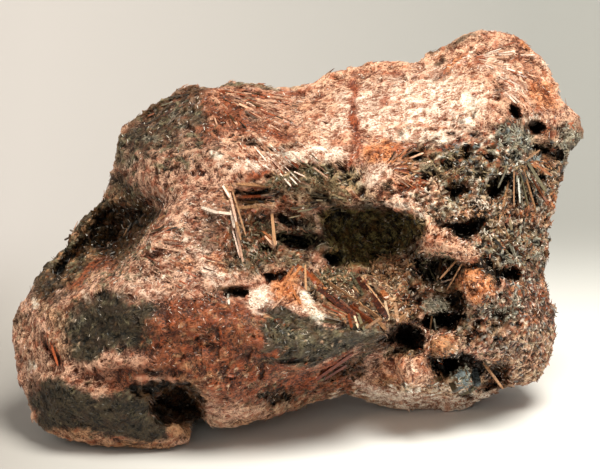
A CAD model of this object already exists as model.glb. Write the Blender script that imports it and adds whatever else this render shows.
"""Manganoan diaspore specimen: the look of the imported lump, in the studio where it is displayed.

The lump's own solid becomes a fine broken surface. Colours and the run of the fibres are laid on it by named
patches, placed in the frame of the display view (600 by 469 points, from the top left). A felt of small blades
grows on it, and single crystals stand where they can be told apart.
"""

import logging
import math
from dataclasses import dataclass, field
from enum import Enum

import bmesh
import bpy
import numpy as np
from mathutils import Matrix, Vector, noise
from mathutils.bvhtree import BVHTree


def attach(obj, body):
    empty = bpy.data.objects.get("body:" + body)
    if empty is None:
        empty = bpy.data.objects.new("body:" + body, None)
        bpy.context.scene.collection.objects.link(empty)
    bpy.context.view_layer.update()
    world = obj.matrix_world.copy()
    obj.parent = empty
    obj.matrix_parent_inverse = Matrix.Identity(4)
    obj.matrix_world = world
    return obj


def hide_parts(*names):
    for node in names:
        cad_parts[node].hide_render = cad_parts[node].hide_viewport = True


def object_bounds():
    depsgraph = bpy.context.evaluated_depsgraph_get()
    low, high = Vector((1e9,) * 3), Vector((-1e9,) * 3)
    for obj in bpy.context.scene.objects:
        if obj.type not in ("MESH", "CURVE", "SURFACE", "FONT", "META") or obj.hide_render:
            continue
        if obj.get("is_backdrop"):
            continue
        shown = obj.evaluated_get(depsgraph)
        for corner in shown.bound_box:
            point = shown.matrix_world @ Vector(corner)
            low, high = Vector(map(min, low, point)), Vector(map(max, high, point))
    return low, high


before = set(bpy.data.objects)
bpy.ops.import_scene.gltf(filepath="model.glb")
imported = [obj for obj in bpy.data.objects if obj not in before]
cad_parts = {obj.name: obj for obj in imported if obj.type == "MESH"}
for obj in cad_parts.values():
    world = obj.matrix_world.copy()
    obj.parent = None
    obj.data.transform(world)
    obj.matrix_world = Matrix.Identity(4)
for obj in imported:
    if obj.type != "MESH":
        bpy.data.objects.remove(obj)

LOG = logging.getLogger("specimen")
MM = 0.001
NOISE_SEED = 7


def linear(colour: str) -> tuple[float, float, float]:
    """Turns an sRGB hex colour into linear light.

    Args:
        colour: such as "#F4D8BB".

    Returns:
        Red, green and blue from 0 to 1, linear.
    """
    parts = [int(colour[k:k + 2], 16) / 255 for k in (1, 3, 5)]
    return tuple(c / 12.92 if c <= 0.04045 else ((c + 0.055) / 1.055) ** 2.4 for c in parts)


def add_node(tree: bpy.types.NodeTree, kind: str, inputs: dict | None = None, **settings) -> bpy.types.Node:
    """Adds a node, sets its properties and fills or links its inputs.

    Args:
        tree: the tree that gets the node.
        kind: Blender's name for the node's type.
        inputs: socket name or number to a value, or to the output socket that feeds it.
        **settings: the node's own properties.

    Returns:
        The new node.
    """
    node = tree.nodes.new(kind)
    for name, value in settings.items():
        setattr(node, name, value)
    for key, value in (inputs or {}).items():
        socket = node.inputs[key]
        if isinstance(value, bpy.types.NodeSocket):
            tree.links.new(value, socket)
        else:
            socket.default_value = value
    return node


@dataclass(frozen=True)
class DisplayView:
    """The view in which the specimen is displayed, and the places that its points stand for."""

    lean: float = math.radians(15)
    distance: float = 600.0
    point_size: float = 0.15
    points_wide: int = 600
    sensor: float = 36.0
    centre: tuple[float, float] = (300.0, 234.5)
    middle_up: float = 0.825
    origin: tuple[float, float, float] = (0.232, -5.519, 28.6)

    def axes(self) -> np.ndarray:
        """The directions across, up and out of the display plane, one to a row."""
        sine, cosine = math.sin(self.lean), math.cos(self.lean)
        return np.array(((1, 0, 0), (0, sine, cosine), (0, -cosine, sine)), float)

    def place(self, across: float, up: float, out: float) -> Vector:
        """A point of the frame, in metres, from display millimetres."""
        return Vector(np.array(self.origin) + np.array((across, up, out)) @ self.axes()) * MM

    def display(self, points: np.ndarray) -> np.ndarray:
        """Display millimetres (across, up, out) of frame points in metres."""
        return (points / MM - np.array(self.origin)) @ self.axes().T

    def seen_at(self, points: np.ndarray) -> np.ndarray:
        """Where frame points show in the view.

        Args:
            points: rows of frame points in metres.

        Returns:
            Rows of view points, x to the right and y down.
        """
        local = self.display(points)
        shrink = self.distance / (self.distance - local[:, 2]) / self.point_size
        x = self.centre[0] + local[:, 0] * shrink
        y = self.centre[1] - (local[:, 1] - self.middle_up) * shrink
        return np.stack([x, y], 1)

    def eye(self) -> Vector:
        """The camera's place."""
        return self.place(0, self.middle_up, self.distance)

    def ray(self, x: float, y: float) -> Vector:
        """The direction from the camera through a view point."""
        across = (x - self.centre[0]) * self.point_size
        up = self.middle_up - (y - self.centre[1]) * self.point_size
        return (self.place(across, up, 0) - self.eye()).normalized()

    def camera(self) -> bpy.types.Object:
        """Makes the scene's camera."""
        data = bpy.data.cameras.new("display_camera")
        data.sensor_width = self.sensor
        data.lens = self.sensor * self.distance / (self.points_wide * self.point_size)
        data.clip_start, data.clip_end = 0.01, 10
        obj = bpy.data.objects.new("display_camera", data)
        obj.location = self.eye()
        toward = self.place(0, self.middle_up, 0) - self.eye()
        obj.rotation_euler = toward.to_track_quat("-Z", "Y").to_euler()
        bpy.context.scene.collection.objects.link(obj)
        bpy.context.scene.camera = obj
        return obj


VIEW = DisplayView()


@dataclass(frozen=True)
class Tone:
    """How one kind of ground looks: its fibres' dark and light, the flecks among them, and how they grow."""

    dark: str
    light: str
    fleck: str
    felt: float = 0.7
    lift: float = 0.1
    rough: float = 1.0


class Ground(Enum):
    """The kinds of ground that can be told apart on the specimen."""

    CREAM = Tone("#A2664A", "#FFF1E2", "#D6906E", 0.7, 0.05, 0.7)
    WHITE = Tone("#D9B294", "#FFFFF6", "#F4CFAE", 0.7, 0.05, 0.7)
    PINK = Tone("#55291A", "#DCAE94", "#98492A", 0.7, 0.05, 0.8)
    SALMON = Tone("#70371F", "#ECBC9E", "#AE562E", 0.8, 0.06, 0.8)
    ORANGE = Tone("#642C12", "#E89A66", "#B4561F", 0.7, 0.1, 1.0)
    RUST = Tone("#2E0E05", "#A4502A", "#3A1206", 0.8, 0.1, 0.9)
    VEIN = Tone("#5A2010", "#B25A34", "#6E2A14", 0.4, 0.03, 0.6)
    BROWN = Tone("#36170A", "#935030", "#6E2C14", 0.6, 0.05, 0.8)
    UMBER = Tone("#0C0603", "#4E351C", "#5E3014", 0.7, 0.15, 1.2)
    TAN = Tone("#4A2C18", "#C4936C", "#8A421E", 0.6, 0.1, 0.8)
    CHARCOAL = Tone("#0B0905", "#433827", "#33251A", 0.5, 0.04, 0.7)
    SLATE = Tone("#1C1710", "#A6A08F", "#4E3A24", 0.8, 0.12, 1.2)
    OLIVE = Tone("#171208", "#7C7258", "#5A3A1E", 0.9, 0.12, 1.1)
    DRUSE = Tone("#1C1108", "#A8926F", "#7E401E", 1.0, 0.25, 1.4)
    BLACK = Tone("#010100", "#140D06", "#1C0E05", 0.2, 0.1, 1.0)
    HOLLOW = Tone("#1E180E", "#8E7E4E", "#6A4020", 0.7, 0.1, 1.1)
    STEEL = Tone("#14171A", "#8C9A9E", "#3A3A34", 0.7, 0.1, 1.0)
    PALE = Tone("#80583E", "#EDD0B0", "#B47A58", 0.6, 0.04, 0.8)


# The kinds by their own names, for the tables.
(CREAM, WHITE, PINK, SALMON, ORANGE, RUST, VEIN, BROWN, UMBER, TAN, CHARCOAL, SLATE, OLIVE, DRUSE, BLACK,
 HOLLOW, STEEL, PALE) = Ground


# Patches of ground in the order in which they are laid: x, y, half width, half height, turn in degrees
# (counter-clockwise), strength.
PATCHES: tuple[tuple[Ground, tuple[tuple[float, ...], ...]], ...] = (
    # the belts from top to bottom
    (SALMON, ((340, 100, 250, 50, 8, 1),)),
    (PINK, ((170, 165, 75, 45, 0, 0.9), (190, 250, 80, 55, -20, 1), (80, 290, 70, 40, 30, 0.9))),
    (DRUSE, ((490, 175, 90, 45, 0, 0.9), (315, 182, 60, 24, -12, 1))),
    (BROWN, ((200, 345, 80, 55, 0, 1), (290, 385, 60, 30, 0, 0.8))),
    (PINK, ((520, 345, 50, 50, 0, 0.9), (30, 350, 24, 60, 0, 0.9))),
    (TAN, ((430, 392, 110, 22, 5, 0.9), (95, 432, 90, 20, 0, 0.6))),
    # the cap and the fibres that spread from it
    (UMBER, ((165, 118, 52, 30, 28, 0.75), (245, 85, 40, 4, 0, 0.5), (150, 108, 30, 8, 32, 0.8),
        (190, 90, 18, 6, 0, 0.7), (120, 190, 16, 18, 0, 0.7))),
    (CHARCOAL, ((140, 138, 14, 14, 0, 0.8), (170, 118, 12, 8, 0, 0.6), (200, 118, 9, 8, 0, 0.8),
        (207, 127, 6, 6, 0, 0.8), (128, 152, 10, 14, 0, 0.6), (165, 130, 16, 5, 0, 0.7))),
    (SLATE, ((182, 112, 9, 4, 0, 0.6), (150, 140, 8, 4, 0, 0.6), (133, 163, 6, 7, 0, 0.4))),
    (OLIVE, ((117, 148, 7, 24, 0, 0.8), (125, 190, 22, 8, -30, 0.5))),
    (PINK, ((160, 150, 10, 6, 0, 0.7), (190, 135, 12, 8, 0, 0.6), (157, 155, 8, 6, 0, 0.5))),
    (RUST, ((225, 112, 26, 18, -45, 0.8), (258, 96, 34, 5, -14, 0.8), (270, 132, 22, 5, -8, 0.7),
        (207, 135, 12, 14, -60, 0.7), (235, 105, 16, 4, -35, 0.8), (245, 125, 16, 5, -30, 0.5))),
    (SALMON, ((222, 108, 4, 16, 40, 0.8), (262, 104, 26, 4, -20, 0.8), (240, 135, 14, 5, 0, 0.6))),
    (UMBER, ((252, 101, 22, 2.5, -18, 0.7), (230, 118, 14, 2.5, -45, 0.5))),
    (CHARCOAL, ((250, 142, 10, 4, -20, 0.6), (292, 147, 16, 6, 5, 0.6), (262, 108, 8, 3, 0, 0.3))),
    (WHITE, ((275, 87, 4, 2, 0, 0.8), (255, 115, 8, 5, -20, 0.5), (218, 158, 7, 3, -30, 0.8),
        (258, 143, 6, 3, 0, 0.6))),
    # the bright band
    (CREAM, ((395, 105, 60, 26, 5, 0.75), (450, 98, 45, 30, 0, 0.9), (300, 155, 48, 9, 8, 0.9),
        (265, 165, 30, 7, 0, 0.8), (335, 150, 18, 12, 0, 0.8), (425, 130, 55, 14, -8, 0.8),
        (330, 125, 20, 10, 0, 0.5), (378, 175, 20, 10, 30, 0.6), (368, 112, 10, 20, 0, 0.5))),
    (WHITE, ((448, 80, 16, 8, 10, 0.8), (470, 105, 8, 18, 0, 0.8), (415, 100, 12, 5, 0, 0.7),
        (470, 92, 9, 5, 0, 0.8), (425, 122, 8, 3, 0, 0.6), (405, 135, 14, 4, 20, 0.6), (357, 100, 3, 3, 0, 0.8),
        (320, 146, 12, 3, 10, 0.7), (440, 140, 14, 5, -15, 0.5))),
    (PINK, ((300, 112, 34, 14, 0, 0.45), (385, 82, 34, 9, 5, 0.5), (470, 135, 16, 7, 0, 0.5),
        (380, 105, 14, 10, 0, 0.4), (440, 115, 20, 7, 0, 0.3), (320, 92, 26, 9, 8, 0.4))),
    (ORANGE, ((385, 152, 22, 10, 5, 0.9), (340, 143, 10, 6, 0, 0.6), (410, 127, 22, 2.5, 0, 0.5),
        (440, 130, 16, 2, 5, 0.5), (450, 100, 12, 3, 10, 0.4), (300, 105, 14, 4, 0, 0.3))),
    (VEIN, ((353, 89, 4, 8, 0, 1), (354, 122, 4, 14, 3, 1), (358, 142, 2.6, 12, -8, 0.9),
        (353, 160, 3.5, 11, -28, 0.9), (385, 100, 6, 4, -40, 0.8), (352, 106, 2.5, 8, 0, 0.9),
        (385, 75, 20, 1.6, 4, 0.6), (262, 175, 18, 4, 5, 0.9), (338, 143, 8, 5, -20, 0.6),
        (270, 134, 14, 4, -12, 0.8), (290, 94, 14, 3, -8, 0.6), (398, 72, 6, 3, -30, 0.5))),
    (RUST, ((400, 150, 10, 7, 0, 0.7),)),
    (OLIVE, ((232, 84, 26, 3, 2, 0.9), (270, 86, 20, 2.5, -4, 0.7), (326, 73, 12, 2, 25, 0.9),
        (292, 88, 10, 1.5, 0, 0.5), (345, 66, 10, 1.2, 15, 0.4))),
    # the crown
    (SALMON, ((495, 62, 48, 30, 10, 0.8), (540, 85, 22, 30, 20, 0.7))),
    (PINK, ((505, 48, 26, 10, 0, 0.4), (500, 75, 20, 14, 0, 0.4), (555, 108, 14, 8, -30, 0.6))),
    (RUST, ((458, 60, 20, 3.5, 42, 0.8), (445, 72, 14, 4, 25, 0.6), (524, 62, 5, 22, 20, 0.55),
        (500, 88, 5, 14, 10, 0.6), (535, 75, 4, 16, 25, 0.5), (520, 42, 14, 4, -25, 0.6), (478, 55, 10, 3, 55, 0.6),
        (548, 92, 10, 3, -50, 0.7), (512, 92, 4, 8, 0, 0.5))),
    (ORANGE, ((540, 92, 16, 14, 0, 0.7), (528, 46, 8, 5, 0, 0.6), (455, 65, 16, 3, 40, 0.6),
        (545, 105, 14, 5, 0, 0.6))),
    (UMBER, ((440, 61, 7, 3, 40, 0.9), (431, 51, 8, 3, 35, 0.8), (499, 92, 3, 12, 8, 0.6), (512, 60, 2, 8, 30, 0.4),
        (530, 58, 2, 10, 25, 0.5), (475, 100, 2, 12, 0, 0.4))),
    (CHARCOAL, ((463, 36, 12, 4, 22, 0.8), (452, 45, 8, 3, 40, 0.5), (504, 76, 3, 3, 0, 0.7))),
    (CREAM, ((467, 58, 18, 1.8, 48, 0.9), (515, 88, 12, 10, 0, 0.6), (540, 62, 3, 12, 30, 0.5),
        (500, 68, 8, 12, 0, 0.5), (485, 62, 12, 3, 55, 0.4))),
    # the porous corner
    (SLATE, ((515, 140, 20, 15, -30, 1), (570, 138, 12, 16, 0, 0.9), (556, 148, 12, 6, -20, 0.7),
        (562, 166, 8, 12, 0, 0.8), (475, 168, 10, 6, 0, 0.8), (487, 203, 10, 8, 0, 0.6), (495, 172, 8, 10, 0, 0.6),
        (420, 168, 12, 7, 0, 0.6), (512, 155, 12, 8, -45, 0.9))),
    (CHARCOAL, ((505, 124, 7, 5, 0, 0.9), (528, 132, 6, 6, 0, 0.6), (582, 128, 4, 14, 0, 0.5),
        (575, 150, 8, 4, 40, 0.7))),
    (RUST, ((480, 146, 12, 6, 20, 0.9), (452, 145, 18, 5, 22, 0.9), (545, 132, 16, 3, -10, 0.8),
        (517, 110, 8, 6, -40, 0.8), (550, 152, 6, 3, -30, 0.6), (388, 194, 16, 4, 18, 0.9),
        (405, 184, 9, 3, 10, 0.8), (560, 150, 5, 3, 0, 0.3), (575, 128, 8, 3, 10, 0.4))),
    (UMBER, ((464, 152, 3.5, 9, 0, 0.9), (417, 155, 9, 7, -10, 1), (552, 127, 14, 3, -5, 0.6),
        (440, 164, 8, 5, 0, 0.6), (517, 112, 4, 9, 30, 1), (404, 158, 5, 5, 0, 0.7))),
    (TAN, ((540, 160, 10, 10, -40, 0.7), (497, 165, 10, 8, 0, 0.8), (450, 172, 12, 6, 0, 0.5),
        (465, 200, 12, 9, 0, 0.6), (475, 190, 6, 5, 0, 0.5))),
    (WHITE, ((484, 178, 8, 5, 25, 0.5), (478, 200, 9, 4, 0, 0.6), (489, 136, 4, 3, 0, 0.7),
        (533, 120, 6, 4, 30, 0.6), (427, 205, 8, 4, -30, 0.6))),
    (SALMON, ((412, 200, 22, 16, 0, 1), (414, 196, 12, 8, 0, 0.5), (430, 190, 16, 10, -30, 0.8),
        (395, 182, 14, 9, 0, 0.8), (425, 220, 12, 12, 0, 0.9), (460, 218, 14, 8, 20, 0.7))),
    (CREAM, ((412, 196, 18, 9, 0, 0.5),)),
    (ORANGE, ((510, 207, 15, 9, -10, 0.9), (535, 215, 20, 8, -15, 0.8), (550, 195, 6, 18, 0, 0.8),
        (541, 165, 8, 8, -40, 0.6), (555, 205, 5, 10, 0, 0.6), (405, 168, 16, 8, 0, 0.5))),
    (OLIVE, ((505, 229, 46, 5, 2, 0.8), (430, 168, 8, 6, 0, 0.5), (545, 182, 6, 10, -30, 0.5))),
    (UMBER, ((512, 188, 2.5, 18, 0, 0.9), (524, 190, 3, 20, 18, 0.9), (536, 206, 3, 16, 28, 0.8),
        (535, 172, 3, 12, 45, 0.6), (530, 228, 18, 1.6, 4, 0.8), (516, 236, 20, 2, 5, 0.7))),
    # the middle of the right side
    (DRUSE, ((522, 248, 27, 20, 0, 1), (490, 240, 16, 12, 30, 0.9))),
    (OLIVE, ((485, 258, 14, 16, 0, 0.9), (500, 270, 12, 10, 0, 0.8), (540, 270, 8, 16, 0, 0.8))),
    (UMBER, ((448, 232, 12, 6, 20, 0.8), (465, 225, 14, 5, -10, 0.6), (511, 250, 5, 8, 30, 0.6),
        (495, 252, 4, 8, -30, 0.6), (448, 275, 24, 13, 0, 0.95), (515, 274, 12, 7, -15, 0.9))),
    (RUST, ((450, 231, 8, 3, -20, 0.7), (472, 240, 5, 10, -40, 0.6), (547, 250, 3, 10, 0, 0.7))),
    (BLACK, ((463, 236, 8, 4, 25, 0.9), (437, 268, 20, 9, -10, 0.6), (459, 268, 6, 10, -30, 0.8))),
    (SALMON, ((447, 246, 29, 9, -24, 1), (468, 254, 10, 5, -20, 0.8))),
    (RUST, ((440, 241, 4, 3, 0, 0.7), (453, 251, 3, 3, 0, 0.8))),
    (ORANGE, ((476, 280, 15, 21, 28, 1), (484, 296, 12, 9, 0, 0.8))),
    (WHITE, ((486, 306, 4, 3, 0, 0.9), (474, 293, 3, 2, 0, 0.8), (515, 307, 4, 3, 0, 0.9),
        (438, 298, 3, 3, 0, 0.8))),
    (SLATE, ((434, 307, 12, 9, 0, 0.9), (498, 310, 14, 12, 0, 0.7))),
    (CHARCOAL, ((500, 316, 14, 9, 0, 0.7), (455, 305, 10, 6, -20, 0.6), (440, 290, 8, 8, 0, 0.6))),
    (OLIVE, ((412, 252, 10, 14, 0, 0.8), (420, 275, 12, 14, 0, 0.8), (488, 300, 4, 10, 0, 0.5),
        (497, 338, 10, 10, 0, 0.7), (470, 320, 8, 10, 0, 0.5))),
    (RUST, ((400, 296, 15, 8, 10, 0.6), (420, 290, 8, 10, 0, 0.7), (484, 316, 4, 7, 0, 0.9),
        (542, 300, 10, 8, 30, 0.8), (555, 318, 3, 11, 0, 1), (480, 334, 4, 3, 0, 0.9))),
    (ORANGE, ((520, 290, 13, 9, 0, 0.7), (425, 312, 9, 4, -10, 0.7), (545, 285, 6, 12, 0, 0.6),
        (530, 318, 12, 6, 30, 0.6), (480, 330, 10, 8, 0, 0.4))),
    (TAN, ((480, 332, 16, 11, 0, 0.7), (520, 330, 12, 12, 0, 0.5), (462, 330, 9, 7, 0, 0.7))),
    (ORANGE, ((443, 345, 15, 11, 5, 1), (535, 360, 16, 12, 0, 0.5))),
    (SLATE, ((541, 330, 9, 5, 0, 0.5), (508, 325, 10, 7, 0, 0.5))),
    # the lower right
    (ORANGE, ((412, 370, 23, 15, -20, 1), (385, 372, 12, 8, -10, 0.5))),
    (CREAM, ((415, 372, 11, 7, -30, 0.8), (408, 362, 9, 3, -15, 0.7), (428, 376, 5, 6, 0, 0.7))),
    (OLIVE, ((400, 352, 18, 5, 0, 0.8), (437, 386, 15, 10, 0, 0.8), (480, 388, 8, 6, 0, 0.4))),
    (UMBER, ((375, 345, 16, 8, 20, 0.9), (440, 364, 20, 9, 0, 0.9), (500, 375, 11, 14, 20, 0.9),
        (465, 397, 10, 3, 5, 0.8), (375, 365, 8, 10, 0, 0.5))),
    (RUST, ((510, 366, 5, 10, 0, 0.8), (523, 372, 5, 5, 0, 0.6), (508, 380, 6, 6, 0, 0.5))),
    (SLATE, ((465, 379, 13, 14, 0, 1), (478, 378, 5, 8, 0, 0.6))),
    (TAN, ((500, 362, 14, 4, 25, 0.8), (540, 378, 16, 8, 0, 0.5), (385, 388, 30, 8, 8, 0.7))),
    # the recess behind the ridge
    (UMBER, ((102, 232, 45, 30, 35, 1), (60, 270, 32, 24, 45, 1), (140, 215, 26, 16, 30, 0.8))),
    (CHARCOAL, ((95, 215, 22, 14, 45, 0.9), (55, 262, 16, 20, -20, 0.8), (45, 288, 14, 14, 0, 0.8),
        (112, 206, 8, 8, 0, 0.8), (65, 252, 14, 8, 40, 0.8), (118, 246, 8, 8, 0, 0.6))),
    (RUST, ((104, 262, 20, 8, 10, 0.9), (88, 270, 12, 6, 40, 0.6), (80, 283, 8, 6, 30, 0.7),
        (100, 252, 14, 6, 20, 0.5))),
    (TAN, ((78, 238, 10, 5, 45, 0.5), (112, 195, 8, 8, 0, 0.5), (92, 258, 6, 5, 0, 0.5), (138, 222, 14, 3, 20, 0.5),
        (150, 208, 10, 2, 10, 0.6), (45, 298, 12, 3, 25, 0.5))),
    # the ridge and what lies below it
    (PINK, ((190, 222, 40, 20, -20, 0.8), (120, 275, 36, 12, 25, 0.9), (165, 285, 45, 14, -5, 0.8))),
    (CREAM, ((135, 285, 18, 9, 0, 0.15), (185, 270, 26, 12, -20, 0.1), (205, 255, 14, 16, 0, 0.45),
        (150, 292, 16, 5, 0, 0.3), (215, 275, 16, 8, -20, 0.6))),
    (RUST, ((160, 229, 11, 4, -10, 0.8), (152, 250, 17, 3, -12, 0.8), (158, 296, 8, 5, 0, 0.5),
        (200, 214, 8, 4, 0, 0.4))),
    (ORANGE, ((187, 263, 14, 8, -10, 0.5), (218, 262, 12, 9, -10, 0.6), (85, 300, 12, 8, 0, 0.4))),
    (UMBER, ((195, 236, 22, 5, -25, 0.45), (210, 244, 12, 6, -20, 0.5), (178, 256, 12, 3, -10, 0.4),
        (228, 236, 12, 12, -30, 0.6), (205, 222, 14, 4, 0, 0.3))),
    (WHITE, ((216, 212, 15, 2.4, -8, 1), (232, 220, 2.6, 7, 0, 0.9), (86, 296, 4, 6, 30, 0.5),
        (187, 240, 4, 2, 0, 0.5), (228, 301, 2.5, 6, 25, 0.7))),
    # the left end
    (TAN, ((65, 318, 16, 12, 0, 0.6), (45, 312, 8, 8, 0, 0.6), (60, 340, 12, 20, 30, 0.5))),
    (UMBER, ((20, 318, 9, 9, 0, 0.7), (25, 330, 5, 10, 0, 0.4), (38, 385, 10, 12, 0, 0.5))),
    (RUST, ((52, 350, 3.5, 17, 38, 1), (24, 328, 4, 10, 0, 0.6), (45, 385, 10, 6, 0, 0.5),
        (20, 375, 4, 14, 0, 0.4))),
    (SALMON, ((32, 345, 9, 24, 10, 0.7), (52, 372, 12, 8, -20, 0.7), (30, 415, 7, 16, 20, 0.7))),
    (WHITE, ((34, 366, 6, 4, 0, 0.8), (35, 303, 3, 4, 0, 0.8), (32, 361, 7, 1.5, 0, 0.6))),
    # the charcoal patch and the flank
    (CHARCOAL, ((112, 322, 36, 26, -10, 1), (150, 308, 14, 9, 0, 0.9), (85, 348, 22, 14, 0, 0.9),
        (78, 330, 18, 12, 0, 0.8), (110, 298, 16, 10, 0, 0.8), (135, 338, 16, 14, 0, 0.9))),
    (SLATE, ((133, 330, 3, 3, 0, 0.6), (125, 340, 2.5, 2.5, 0, 0.8), (78, 318, 10, 6, 0, 0.3))),
    (RUST, ((200, 308, 42, 12, -4, 0.75), (212, 370, 26, 10, 0, 0.6), (85, 341, 5, 3, 0, 0.7),
        (175, 330, 22, 10, 0, 0.3), (235, 312, 16, 8, 0, 0.6))),
    (UMBER, ((203, 345, 16, 12, -20, 0.6), (175, 325, 14, 5, 0, 0.4), (210, 352, 14, 6, 0, 0.5),
        (160, 372, 20, 5, 0, 0.4))),
    (TAN, ((188, 364, 9, 6, 0, 1), (172, 343, 9, 7, 0, 0.5), (240, 335, 14, 12, 0, 0.5), (252, 325, 10, 9, 0, 0.6),
        (200, 327, 14, 3, 10, 0.5), (200, 392, 18, 4, -30, 0.6), (190, 380, 14, 5, -20, 0.6))),
    (PINK, ((122, 357, 30, 3.5, 0, 0.85), (85, 366, 16, 3, 10, 0.6), (130, 364, 20, 5, 0, 0.4))),
    # the block at the lower left
    (CHARCOAL, ((62, 402, 32, 18, -10, 1), (120, 412, 40, 20, 0, 1), (145, 430, 22, 16, 0, 0.9),
        (55, 382, 12, 6, 0, 0.8), (60, 425, 26, 8, 0, 0.9))),
    (BROWN, ((120, 386, 18, 11, 0, 0.9), (100, 375, 24, 7, 0, 0.6))),
    (SALMON, ((76, 383, 14, 6, 0, 0.5), (98, 386, 11, 7, -20, 0.6), (112, 398, 6, 3, -20, 0.5))),
    (RUST, ((104, 425, 5, 3, 0, 0.7), (124, 417, 3, 6, 0, 0.7), (118, 437, 7, 3, 0, 0.7), (80, 422, 6, 3, 0, 0.5),
        (45, 400, 5, 10, 0, 0.4), (122, 398, 4, 3, 0, 0.5))),
    (TAN, ((85, 433, 20, 3, 5, 0.7), (178, 430, 15, 10, 20, 0.9), (140, 446, 34, 2.5, 0, 0.8),
        (62, 432, 14, 3, -10, 0.5), (172, 415, 10, 3, -20, 0.6))),
    (SLATE, ((157, 382, 10, 4, 0, 0.7), (132, 400, 6, 5, 0, 0.3))),
    (BLACK, ((178, 402, 28, 20, -10, 1),)),
    # the lobe, the arch and the nose
    (RUST, ((235, 390, 28, 13, 0, 0.6), (300, 380, 18, 10, 0, 0.8), (345, 384, 14, 6, 20, 0.7))),
    (TAN, ((240, 407, 24, 2.5, 6, 0.7), (262, 385, 3, 14, 0, 0.6), (250, 422, 22, 5, 8, 0.7),
        (300, 405, 40, 4, 8, 0.8), (213, 378, 20, 3, -20, 0.5), (295, 370, 12, 4, 0, 0.4))),
    (PINK, ((215, 415, 20, 12, 0, 0.5),)),
    (BROWN, ((232, 396, 22, 12, 0, 0.5),)),
    (UMBER, ((278, 392, 18, 7, 5, 0.8), (352, 370, 14, 10, 0, 0.7), (322, 385, 8, 8, 0, 0.5),
        (275, 405, 18, 3, 8, 0.6))),
    (CHARCOAL, ((285, 330, 22, 22, 0, 1), (320, 345, 36, 14, 8, 1), (352, 338, 26, 10, 8, 1),
        (295, 355, 28, 8, 5, 0.8), (335, 318, 20, 4, -12, 0.7))),
    (OLIVE, ((300, 338, 24, 10, 0, 0.5), (330, 330, 30, 6, 10, 0.5), (270, 355, 16, 8, 0, 0.6))),
    (SLATE, ((352, 333, 20, 4, 12, 0.6), (362, 334, 5, 4, 0, 0.8), (325, 352, 24, 3, 14, 0.5),
        (378, 330, 8, 5, 0, 0.6), (296, 323, 10, 3, -20, 0.5))),
    (RUST, ((306, 333, 4, 3, 0, 0.6), (334, 362, 18, 4, 35, 1), (340, 372, 8, 8, 0, 0.4))),
    # the fibrous recess in the middle
    (OLIVE, ((258, 236, 24, 20, 0, 0.9), (250, 262, 22, 12, 0, 0.9), (300, 225, 18, 12, 0, 0.8),
        (300, 178, 26, 9, 10, 0.6), (285, 258, 20, 10, 0, 0.7))),
    (BROWN, ((222, 232, 12, 18, -10, 0.7), (220, 205, 16, 8, 0, 0.5))),
    (TAN, ((230, 195, 12, 8, 0, 0.6), (252, 208, 16, 3, -6, 0.8), (240, 184, 14, 2.5, 0, 0.5),
        (268, 236, 9, 7, 0, 0.6), (332, 190, 18, 6, -30, 0.5))),
    (RUST, ((256, 190, 20, 4, 0, 0.8), (284, 204, 9, 8, 30, 0.8), (298, 204, 8, 8, 0, 0.8),
        (250, 197, 16, 3, 0, 0.5), (262, 172, 14, 4, 0, 0.7), (268, 238, 6, 4, 0, 0.6), (285, 224, 10, 4, -25, 0.7),
        (242, 218, 6, 5, -30, 0.4))),
    (SALMON, ((345, 196, 18, 7, -30, 0.6), (305, 208, 4, 4, 0, 0.6))),
    (UMBER, ((240, 250, 12, 8, 0, 0.3), (283, 216, 10, 5, 0, 0.7), (325, 194, 16, 4, -30, 0.6),
        (262, 244, 10, 4, 10, 0.6), (330, 180, 14, 4, -35, 0.5))),
    (SLATE, ((276, 196, 10, 7, 20, 0.5), (368, 205, 7, 7, 0, 0.7), (307, 231, 5, 5, 0, 0.5))),
    # the main hollow and its floor
    (BLACK, ((362, 232, 48, 26, -5, 0.75), (302, 240, 26, 9, -8, 1), (335, 256, 12, 6, 0, 0.9))),
    (OLIVE, ((350, 238, 18, 14, 0, 0.45), (405, 235, 12, 10, 0, 0.3), (325, 248, 8, 6, 0, 0.6))),
    (UMBER, ((388, 250, 18, 16, 0, 0.7), (300, 283, 16, 16, 0, 0.6), (335, 300, 20, 6, -30, 0.6))),
    (OLIVE, ((332, 276, 22, 9, 0, 0.8), (300, 262, 16, 8, 0, 0.6), (415, 285, 10, 18, 0, 0.6),
        (335, 308, 22, 8, -25, 0.5), (360, 285, 16, 10, 0, 0.4))),
    (TAN, ((392, 268, 20, 14, 0, 0.7), (350, 312, 12, 8, 0, 0.6), (388, 300, 10, 10, 0, 0.5),
        (340, 270, 10, 4, 0, 0.4))),
    (RUST, ((380, 272, 16, 5, -10, 0.6), (410, 300, 12, 7, 0, 0.6), (420, 293, 8, 6, 0, 0.6))),
    (ORANGE, ((283, 286, 14, 15, 30, 0.9), (386, 296, 5, 4, 0, 0.9), (300, 300, 10, 10, 0, 0.6))),
    (CREAM, ((259, 300, 12, 12, 0, 0.9), (298, 309, 11, 5, -25, 0.6), (252, 290, 8, 6, 0, 0.6))),
    (WHITE, ((320, 315, 5, 3, -25, 0.8), (306, 299, 2.5, 7, 30, 0.7), (262, 292, 5, 6, 0, 0.5))),
    (UMBER, ((236, 291, 15, 4.5, 8, 1), (222, 290, 6, 4, 0, 0.7))),
    (UMBER, ((235, 230, 30, 26, 0, 0.45), (255, 255, 32, 16, 0, 0.4), (500, 155, 40, 20, 0, 0.25),
        (515, 195, 30, 24, 0, 0.4), (175, 150, 40, 30, 0, 0.25))),
    (PALE, ((300, 190, 30, 14, -20, 0.35), (470, 396, 64, 12, 4, 1), (395, 400, 44, 12, 8, 1),
        (530, 370, 20, 12, 0, 0.5), (300, 402, 60, 6, 10, 0.4), (215, 425, 26, 8, 0, 0.3))),
)


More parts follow.
